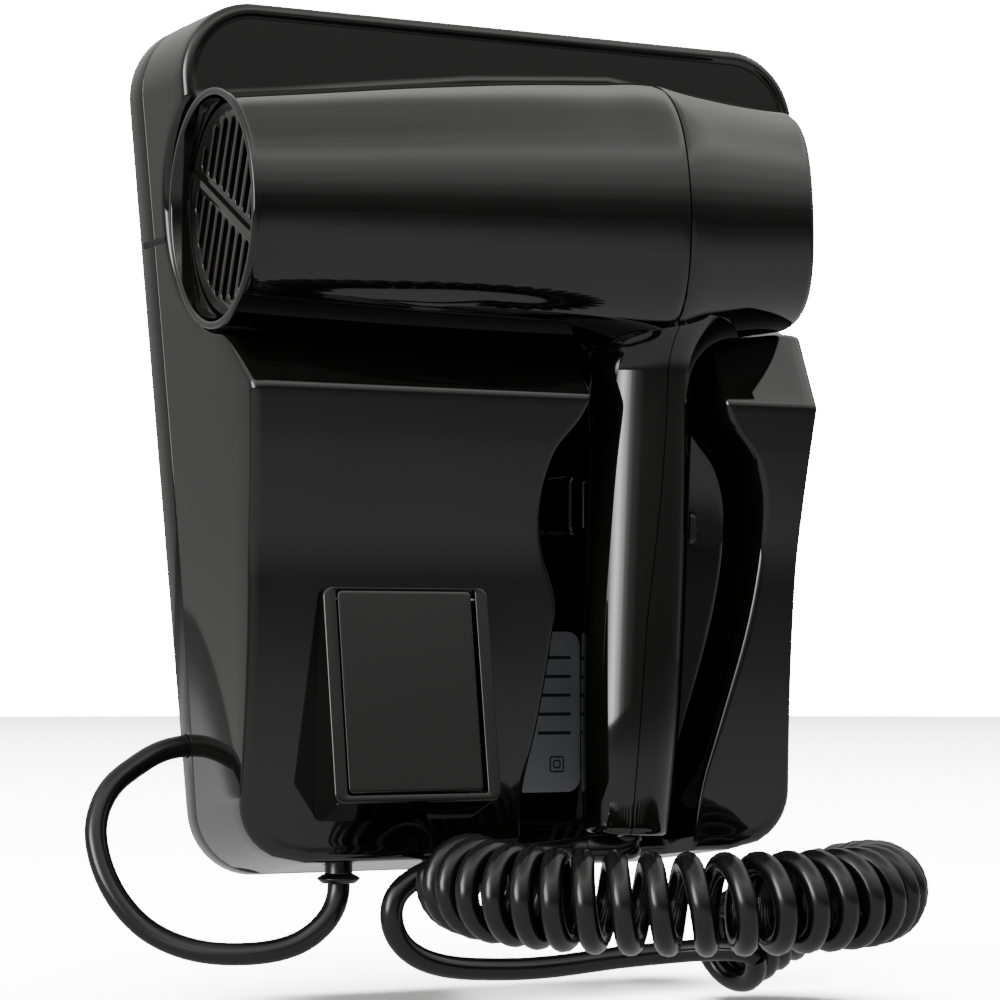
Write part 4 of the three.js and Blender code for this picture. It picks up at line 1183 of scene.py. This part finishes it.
def make_slider():
    """The power slider: a round-ended pad with three ribs on a stem."""
    def place(x, y, z):
        return tuple(AXIS + x * HANDLE_X + y * ACROSS + z * HANDLE_Z)

    def slab(half_y, low, high, base, top, radius, edge):
        rings = []
        for x, inset in ((base, 0), (top - edge, 0), (top - edge * 0.3, edge * 0.3), (top, edge)):
            loop = rounded_rectangle(-half_y + inset, half_y - inset, low + inset, high - inset,
                                     max(radius - inset, 0.3))
            rings.append([place(x, y, z) for y, z in loop])
        return capped(rings)
    parts = [slab(3, -90.5, -83.5, 5.2, 15.2, 1, 0.1), slab(3.8, -92, -82, 15.0, 17.1, 2.2, 0.6)]
    parts += [slab(3.2, z - 0.6, z + 0.6, 16.8, 17.7, 0.5, 0.35) for z in (-90, -87, -84)]
    return new_piece("dryer_power_slider", *joined(*parts), "satin_black", "slider", ("dryer_switch_slider",))


def make_grille():
    """The outlet grille: a ring, a raised spar across it and long round-ended slots each side."""
    curve = bpy.data.curves.new("grille_outline", "CURVE")
    curve.dimensions, curve.fill_mode = "2D", "BOTH"
    curve.extrude, curve.bevel_depth, curve.bevel_resolution = 0.0008, 0.0003, 2

    def outline(points):
        line = curve.splines.new("POLY")
        line.points.add(len(points) - 1)
        for knot, (u, v) in zip(line.points, points):
            knot.co = (u * MM, v * MM, 0, 1)
        line.use_cyclic_u = True
    outline([(28 * math.cos(a), 28 * math.sin(a)) for a in full_turn(96)])
    for side in (-1, 1):
        for k in range(-4, 5):
            across = k * 5.4
            reach = math.sqrt(25.2 ** 2 - (abs(across) + 1.6) ** 2)
            if reach < 7:
                continue
            low, high = sorted((side * 2.6, side * reach))
            outline(rounded_rectangle(across - 2.05, across + 2.05, low, high, 1.9, 6))
    holder = bpy.data.objects.new("grille_outline", curve)
    bpy.context.scene.collection.objects.link(holder)
    graph = bpy.context.evaluated_depsgraph_get()
    mesh = bpy.data.meshes.new_from_object(holder.evaluated_get(graph))
    flat = [np.array(v.co) / MM for v in mesh.vertices]
    faces = [list(p.vertices) for p in mesh.polygons]
    bpy.data.objects.remove(holder)
    spar = capped([[(u, v, w) for u, w in ((-1.7, 0.8), (1.7, 0.8), (0.9, 2.2), (-0.9, 2.2))]
                   for v in (-26.5, 26.5)])
    turned = [(v, u, w) for u, v, w in spar[0]]
    points, faces = joined((flat, faces), (turned, spar[1]))
    lean = math.radians(28)
    placed = []
    for u, v, w in points:
        across = u * math.cos(lean) - v * math.sin(lean)
        upright = u * math.sin(lean) + v * math.cos(lean)
        placed.append(AXIS + (-126.2 - w) * BARREL_X + across * np.array([0, -1.0,
                                                                          0]) * -1 + upright * BARREL_Z)
    return new_piece("dryer_outlet_grille_face", placed, faces, "gloss_black", "dryer",
                     ("dryer_outlet_grille",), sharp=45)


def make_strain_relief():
    """The moulded elbow under the handle, tapering to the cord."""
    foot = AXIS + HANDLE_END * HANDLE_Z
    level = foot[2] - GAP - 3.5
    path = smooth_line([(foot[0] + 0.4, -54, foot[2] + 6), (foot[0] + 0.4, -54, foot[2] + 0.5),
                        (foot[0] + 0.1, -54, level + 1.6),
                        (foot[0] - 3.2, -54, level), (foot[0] - 9, -54, level - 0.05),
                        (17.9, -54, level - 0.1)], 0.6)
    share = np.linspace(0, 1, len(path))
    elbow = tube(path, np.interp(share, [0, 0.3, 0.42, 0.85, 0.97, 1], [3.6, 3.7, 3.9, 3.7, 3.5, 3.2]), 28)
    collar_path = np.array([(foot[0] + 0.2, -54, foot[2] - 0.25), (foot[0] + 0.2, -54, foot[2] - 0.9),
                            (foot[0] + 0.2, -54, foot[2] - 1.9)])
    shoe = tube(collar_path, np.array([4.6, 4.7, 4.2]), 28)
    heel_path = smooth_line([(foot[0] - 2, -54, level), (foot[0] + 1.5, -54, level),
                             (foot[0] + 4.4, -54, level + 0.1)], 0.35)
    heel = tube(heel_path, 3.6 * np.sqrt(np.clip(1 - np.linspace(0, 1, len(heel_path)) ** 4, 0.02, 1)), 28)
    return new_piece("dryer_cord_elbow", *joined(elbow, shoe, heel), "black_pvc", "dryer",
                     ("dryer_strain_relief",))


# ---- cords ----
SUPPLY_ROUTE = [
    (-52.5, -46, -110), (-52.5, -46, -117), (-52.6, -46.1, -121.4), (-54.2, -46.6, -126),
    (-58, -46.3, -131), (-63, -44.5, -134.8),
    (-70, -41.5, -137.2), (-77.5, -37.5, -138), (-85.5, -32.5, -137.6), (-92.5, -27.5, -135.6),
    (-98.8, -23, -131.8),
    (-104, -19.4, -126), (-107.6, -16.2, -119), (-109.4, -13.6, -112), (-109.6, -11.4, -105.4),
    (-107.6, -9.4, -99),
    (-103.4, -7.8, -93.2), (-97, -6.6, -88.6), (-89.5, -6, -84.6), (-82, -5.9, -83), (-71, -5.9, -83)]
COIL_ROUTE = [
    (-27.6, -72.6, -117.8), (-30, -84, -118.2), (-27.6, -96, -119.2), (-17.4, -108.6, -120.4),
    (-0.4, -119.6, -121.2),
    (19.4, -129.2, -121.4), (41, -131.4, -121.4), (61.6, -126.8, -121.2), (76, -113.6, -121),
    (81, -97, -121.8),
    (76, -82, -125.4), (64, -76, -131.6), (49, -78.6, -138.4)]
# Distance between turns, by share of the coil's length, and the angle at which its first turn starts.
COIL_PITCH = ([0, 0.17, 0.25, 0.37, 0.46, 0.56, 0.66, 1], [6.25, 6.25, 9.0, 9.9, 8.6, 7.6, 6.35, 6.3])
COIL_START, POINTS_PER_TURN = math.radians(200), 26
BASE_TAIL = [
    (-21, -40, -110), (-21, -40, -118), (-21.2, -40.4, -122.2), (-22.4, -45, -126.2), (-24.6, -53, -128.2),
    (-27.5, -60, -128.2)]
HANDLE_TAIL = [
    (33, -70.6, -139.6), (21, -67.4, -140.6), (10, -64, -142), (-2, -61, -143), (-15, -59.4, -142.8),
    (-28, -59.4, -141.2),
    (-37.4, -59.6, -137.2), (-42.6, -60, -130.4), (-42.4, -60.4, -123), (-36, -61, -117.2),
    (-25, -61.4, -114),
    (-13, -61.2, -112.8), (-4, -60.8, -112.2), (4, -59, -111.9), (13, -54.4, -111.5), (17.6, -54, -111.4)]


def coil_line():
    """Centreline of the coiled stretch: tight turns at both ends, opened at the front of the arc."""
    s = sizes("cord_sizes")
    radius = (s["coil"] - s["wire"]) / 2
    route = smooth_line(COIL_ROUTE, 0.25)
    _, side, other = frames_along(route)
    along = np.concatenate([[0], np.cumsum(np.linalg.norm(np.diff(route, axis=0), axis=1))])
    share = along / along[-1]
    pitch = np.interp(share, *COIL_PITCH)
    step = np.diff(along) * 2 * math.pi / ((pitch[1:] + pitch[:-1]) / 2)
    phase = np.concatenate([[0], np.cumsum(step)]) + COIL_START
    count = int(phase[-1] / (2 * math.pi) * POINTS_PER_TURN)
    even = np.linspace(phase[0], phase[-1], count)

    def pick(values):
        return np.stack([np.interp(even, phase, values[:, k]) for k in range(3)], 1)

    centre, s_side, s_other = pick(route), pick(side), pick(other)
    return centre + radius * (np.cos(even)[:, None] * s_side + np.sin(even)[:, None] * s_other)


def eased(path, start, end, passes):
    """The path with the bends between two of its points relaxed."""
    path = path.copy()
    for _ in range(passes):
        path[start:end] = (path[start - 1:end - 1] + 2 * path[start:end] + path[start + 1:end + 1]) / 4
    return path


def declare_cord(name, path, diameter, body, replaces, around):
    points, faces = tube(path, diameter / 2, around)
    piece = new_piece(name, points, faces, "black_pvc", body, replaces)
    return piece


def make_supply_cord():
    s = sizes("cord_sizes")
    return declare_cord("supply_cord_sheath", smooth_line(SUPPLY_ROUTE, 1.4), s["supply"],
                        "holder",
                        ("supply_cord",), 18)


def make_curly_cord():
    s = sizes("cord_sizes")
    coil = coil_line()
    tail = smooth_line(BASE_TAIL + [tuple(coil[3]), tuple(coil[6])], 1.2)
    lead = tail[np.linalg.norm(tail - coil[3], axis=1).argmin()::-1][::-1]
    body = eased(np.concatenate([lead, coil[4:]]), 3, len(lead) + 7, 24)
    main = declare_cord("curly_cord_sheath", body, s["wire"], "holder",
                        ("curly_cord", "curly_cord_base_tail"), 12)
    link = smooth_line([tuple(coil[-6]), tuple(coil[-1])] + HANDLE_TAIL, 1.2)
    start = np.linalg.norm(link - coil[-1], axis=1).argmin()
    link = link[start:]
    points, faces = tube(link, s["wire"] / 2, 16)
    tail_piece = new_piece("curly_cord_handle_sheath", points, faces, "black_pvc", "holder",
                           ("curly_cord_handle_tail",))
    tail_piece.parent = None
    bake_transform(tail_piece)
    return main, tail_piece


def dress_inner_parts():
    """Every CAD node that still shows takes its slot's finish."""
    slots = {row["node"]: row["material_slot"] for row in frame["record"]["subparts"]}
    for name, node in frame["nodes"].items():
        node.data.materials.clear()
        node.data.materials.append(FINISHES[slots[name]])


# ---- stage ----
CAMERA_AT = (-0.37484, -0.80778, -0.05796)
CAMERA_TURN, CAMERA_RISE, CAMERA_LENS = 25.955, 2.932, 109.56
FLOOR_Z = -0.1535


def make_camera():
    data = bpy.data.cameras.new("camera")
    data.lens, data.sensor_width = CAMERA_LENS, 36
    data.clip_start, data.clip_end = 0.01, 100
    camera = bpy.data.objects.new("camera", data)
    camera.location = CAMERA_AT
    camera.rotation_euler = (math.radians(90 + CAMERA_RISE), 0, math.radians(-CAMERA_TURN))
    bpy.context.scene.collection.objects.link(camera)
    bpy.context.scene.camera = camera


def make_floor():
    """A pale round floor with a light of its own, so that its glare stays off the gloss."""
    around, radius = 96, 4.0
    turns = full_turn(around)
    mesh = bpy.data.meshes.new("studio_floor")
    mesh.from_pydata([(radius * math.cos(a), radius * math.sin(a), FLOOR_Z) for a in turns], [],
                     [list(range(around))])
    floor = bpy.data.objects.new("studio_floor", mesh)
    stage = bpy.data.collections.new("studio_stage")
    bpy.context.scene.collection.children.link(stage)
    stage.objects.link(floor)
    material, tree, shader, place = new_material("studio_floor",
                                                 tuple(bpy.context.scene.unit_finish.floor_colour), 0.6)
    relief(tree, shader, noise(tree, place, 30, 2), 0.02, 0.0005)
    mesh.materials.append(material)
    floor.visible_glossy = False
    floor.visible_diffuse = False
    glow = soft_box("floor_box", (-0.4, -0.5, 3.0), (0, 0, FLOOR_Z), 3.0, 3.0, 2600)
    glow.light_linking.receiver_collection = stage
    glow.visible_glossy = False


def soft_box(name, at, look_at, width, height, power):
    data = bpy.data.lights.new(name, "AREA")
    data.shape, data.size, data.size_y, data.energy = "RECTANGLE", width, height, power
    light = bpy.data.objects.new(name, data)
    light.location = at
    light.rotation_euler = (Vector(look_at) - Vector(at)).to_track_quat("-Z", "Y").to_euler()
    bpy.context.scene.collection.objects.link(light)
    return light


# Brightness of the surround by elevation in degrees, in front of the wall and behind it.
SURROUND_FRONT = ((-90, 0.2), (-30, 0.1), (-9, 0.1), (-2, 0.13), (5, 0.18), (14, 0.46), (23, 0.85),
                  (34, 1.2), (45, 1.75), (57, 1.2),
                  (70, 0.85), (90, 0.75))
SURROUND_BEHIND = ((-90, 0.3), (-20, 0.42), (0, 0.38), (30, 0.6), (50, 1.05), (70, 0.5), (90, 0.75))
SURROUND_PEAK = 2.0
BACKDROP_WHITE = (14, 14, 14)
# What the left side adds in front of the wall, by bearing in degrees from straight ahead.
SURROUND_SIDE = ((-90, 3.0), (-82, 8.0), (-73, 15.0), (-63, 7.0), (-52, 1.6), (-42, 0.4), (-24, 0.0),
                 (0, 0.0))


def by_angle(stops, blue=1.0):
    """Ramp stops from (degrees, level), for a value that is half the angle's sine plus a half."""
    return [(math.sin(math.radians(angle)) / 2 + 0.5,
             (level / SURROUND_PEAK, level / SURROUND_PEAK, level / SURROUND_PEAK * blue))
            for angle, level in stops]


# Brightness that the gloss mirrors from the table, by distance from the unit in metres.
TABLE_GLOW = ((0.0, 0.55), (0.95, 0.62), (1.15, 0.5), (1.4, 0.3), (1.7, 0.2), (2.6, 0.14))
TABLE_CENTRE = (-0.25, 0.45)


def make_table_glow():
    """A sheet under the floor that only reflections and soft light see, brightest close to the unit."""
    reach = TABLE_GLOW[-1][0]
    mesh = bpy.data.meshes.new("studio_table")
    turns = full_turn(64)
    mesh.from_pydata([(reach * math.cos(a), reach * math.sin(a), FLOOR_Z - 0.01) for a in turns], [],
                     [list(range(64))])
    table = bpy.data.objects.new("studio_table", mesh)
    table.location = (*TABLE_CENTRE, 0)
    bpy.context.scene.collection.objects.link(table)
    table.visible_camera = False
    material = bpy.data.materials.new("studio_table")
    material.use_nodes = True
    tree = material.node_tree
    shader = tree.nodes["Principled BSDF"]
    shader.inputs["Base Color"].default_value = (0, 0, 0, 1)
    shader.inputs["Specular IOR Level"].default_value = 0
    shader.inputs["Emission Strength"].default_value = 1
    place = tree.nodes.new("ShaderNodeTexCoord")
    length = tree.nodes.new("ShaderNodeVectorMath")
    length.operation = "LENGTH"
    tree.links.new(place.outputs["Object"], length.inputs[0])
    stops = [(distance / reach, (level, level, level)) for distance, level in TABLE_GLOW]
    glow = ramp(tree, spread(tree, length.outputs["Value"], end=reach), stops)
    tree.links.new(glow, shader.inputs["Emission Color"])
    mesh.materials.append(material)


def make_studio():
    """A white surround that the gloss mirrors as soft bands, brightest on the left."""
    world = bpy.data.worlds.new("studio")
    bpy.context.scene.world = world
    world.use_nodes = True
    tree = world.node_tree
    back = tree.nodes["Background"]
    place = tree.nodes.new("ShaderNodeTexCoord")
    split = tree.nodes.new("ShaderNodeSeparateXYZ")
    tree.links.new(place.outputs["Generated"], split.inputs["Vector"])
    height = spread(tree, split.outputs["Z"], start=-1.0)
    behind = spread(tree, split.outputs["Y"], start=-0.15, end=0.35)
    socket, bands = mixed(tree, behind, ramp(tree, height, by_angle(SURROUND_FRONT, 0.99), "EASE"))
    tree.links.new(ramp(tree, height, by_angle(SURROUND_BEHIND, 0.99), "EASE"), socket)
    across = spread(tree, split.outputs["X"], start=-1.0)
    ahead = spread(tree, split.outputs["Y"], start=0.12, end=-0.12)
    socket, lifted = mixed(tree, ahead, bands, "ADD")
    tree.links.new(ramp(tree, across, by_angle(SURROUND_SIDE)), socket)
    rays = tree.nodes.new("ShaderNodeLightPath")
    socket, seen = mixed(tree, rays.outputs["Is Camera Ray"], lifted)
    socket.default_value = (*BACKDROP_WHITE, 1)
    tree.links.new(seen, back.inputs["Color"])
    back.inputs["Strength"].default_value = SURROUND_PEAK
    make_table_glow()


# ---- operators ----
class UNIT_OT_camera(bpy.types.Operator):
    """Place the camera"""
    bl_idname = "unit.camera"
    bl_label = "Camera"

    def execute(self, context):
        make_camera()
        return {"FINISHED"}


class UNIT_OT_finishes(bpy.types.Operator):
    """Make the materials and give the fitted parts inside theirs"""
    bl_idname = "unit.finishes"
    bl_label = "Finishes"

    def execute(self, context):
        FINISHES.update(make_finishes())
        dress_inner_parts()
        return {"FINISHED"}


class UNIT_OT_supply_cord(bpy.types.Operator):
    """Lay the supply cord from its grommet round to the back plate"""
    bl_idname = "unit.supply_cord"
    bl_label = "Supply cord"

    def execute(self, context):
        make_supply_cord()
        return {"FINISHED"}


class UNIT_OT_curly_cord(bpy.types.Operator):
    """Wind the coiled cord and lead its ends to the holder and the dryer"""
    bl_idname = "unit.curly_cord"
    bl_label = "Coiled cord"

    def execute(self, context):
        make_curly_cord()
        return {"FINISHED"}


class UNIT_OT_cover(bpy.types.Operator):
    """Shape the front cover with its cradle, lip and recess"""
    bl_idname = "unit.cover"
    bl_label = "Front cover"

    def execute(self, context):
        make_cover()
        return {"FINISHED"}


class UNIT_OT_back_plate(bpy.types.Operator):
    """Shape the back plate with its keyholes"""
    bl_idname = "unit.back_plate"
    bl_label = "Back plate"

    def execute(self, context):
        make_back_plate()
        return {"FINISHED"}


class UNIT_OT_socket(bpy.types.Operator):
    """Shape the socket's wedge, its lid and the insert behind the lid"""
    bl_idname = "unit.socket"
    bl_label = "Socket"

    def execute(self, context):
        make_socket()
        return {"FINISHED"}


class UNIT_OT_fittings(bpy.types.Operator):
    """Make the rest switch's button, the label and the cord grommets"""
    bl_idname = "unit.fittings"
    bl_label = "Fittings"

    def execute(self, context):
        make_rest_switch()
        make_label()
        make_latch_painted_shade()
        make_grommets()
        return {"FINISHED"}


class UNIT_OT_dryer_shells(bpy.types.Operator):
    """Shape the dryer's front and rear shells"""
    bl_idname = "unit.dryer_shells"
    bl_label = "Dryer shells"

    def execute(self, context):
        make_front_shell()
        make_rear_shell()
        return {"FINISHED"}


class UNIT_OT_dryer_details(bpy.types.Operator):
    """Make the outlet grille, the power slider and the strain relief"""
    bl_idname = "unit.dryer_details"
    bl_label = "Dryer details"

    def execute(self, context):
        make_grille()
        make_slider()
        make_strain_relief()
        return {"FINISHED"}


class UNIT_OT_stage(bpy.types.Operator):
    """Make the floor, the surround and the soft lights"""
    bl_idname = "unit.stage"
    bl_label = "Studio"

    def execute(self, context):
        make_floor()
        make_studio()
        return {"FINISHED"}


class UNIT_PT_panel(bpy.types.Panel):
    """Sizes, colours and the steps that build the unit"""
    bl_idname = "UNIT_PT_panel"
    bl_label = "Hair Dryer Unit"
    bl_space_type = "VIEW_3D"
    bl_region_type = "UI"
    bl_category = "Dryer Unit"

    def draw(self, context):
        layout = self.layout
        for group in GROUPS:
            box = layout.box()
            for name in GROUPS[group].__annotations__:
                box.prop(getattr(context.scene, group), name)
        for step in OPERATORS:
            layout.operator(step.bl_idname)


FINISHES = {}
GROUPS = {"holder_sizes": HolderSizes, "dryer_sizes": DryerSizes, "cord_sizes": CordSizes,
          "unit_finish": Finish}
OPERATORS = (
    UNIT_OT_camera, UNIT_OT_finishes, UNIT_OT_supply_cord, UNIT_OT_curly_cord, UNIT_OT_cover,
    UNIT_OT_back_plate,
    UNIT_OT_socket, UNIT_OT_fittings, UNIT_OT_dryer_shells, UNIT_OT_dryer_details, UNIT_OT_stage)


def register():
    for kind in (*GROUPS.values(), *OPERATORS, UNIT_PT_panel):
        bpy.utils.register_class(kind)
    for name, group in GROUPS.items():
        setattr(bpy.types.Scene, name, bpy.props.PointerProperty(type=group))


def unregister():
    for name in GROUPS:
        delattr(bpy.types.Scene, name)
    for kind in (UNIT_PT_panel, *reversed(OPERATORS), *reversed(GROUPS.values())):
        bpy.utils.unregister_class(kind)


def main():
    register()
    for step in OPERATORS:
        group, name = step.bl_idname.split(".")
        getattr(getattr(bpy.ops, group), name)()
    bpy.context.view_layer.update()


if __name__ == "__main__":
    main()
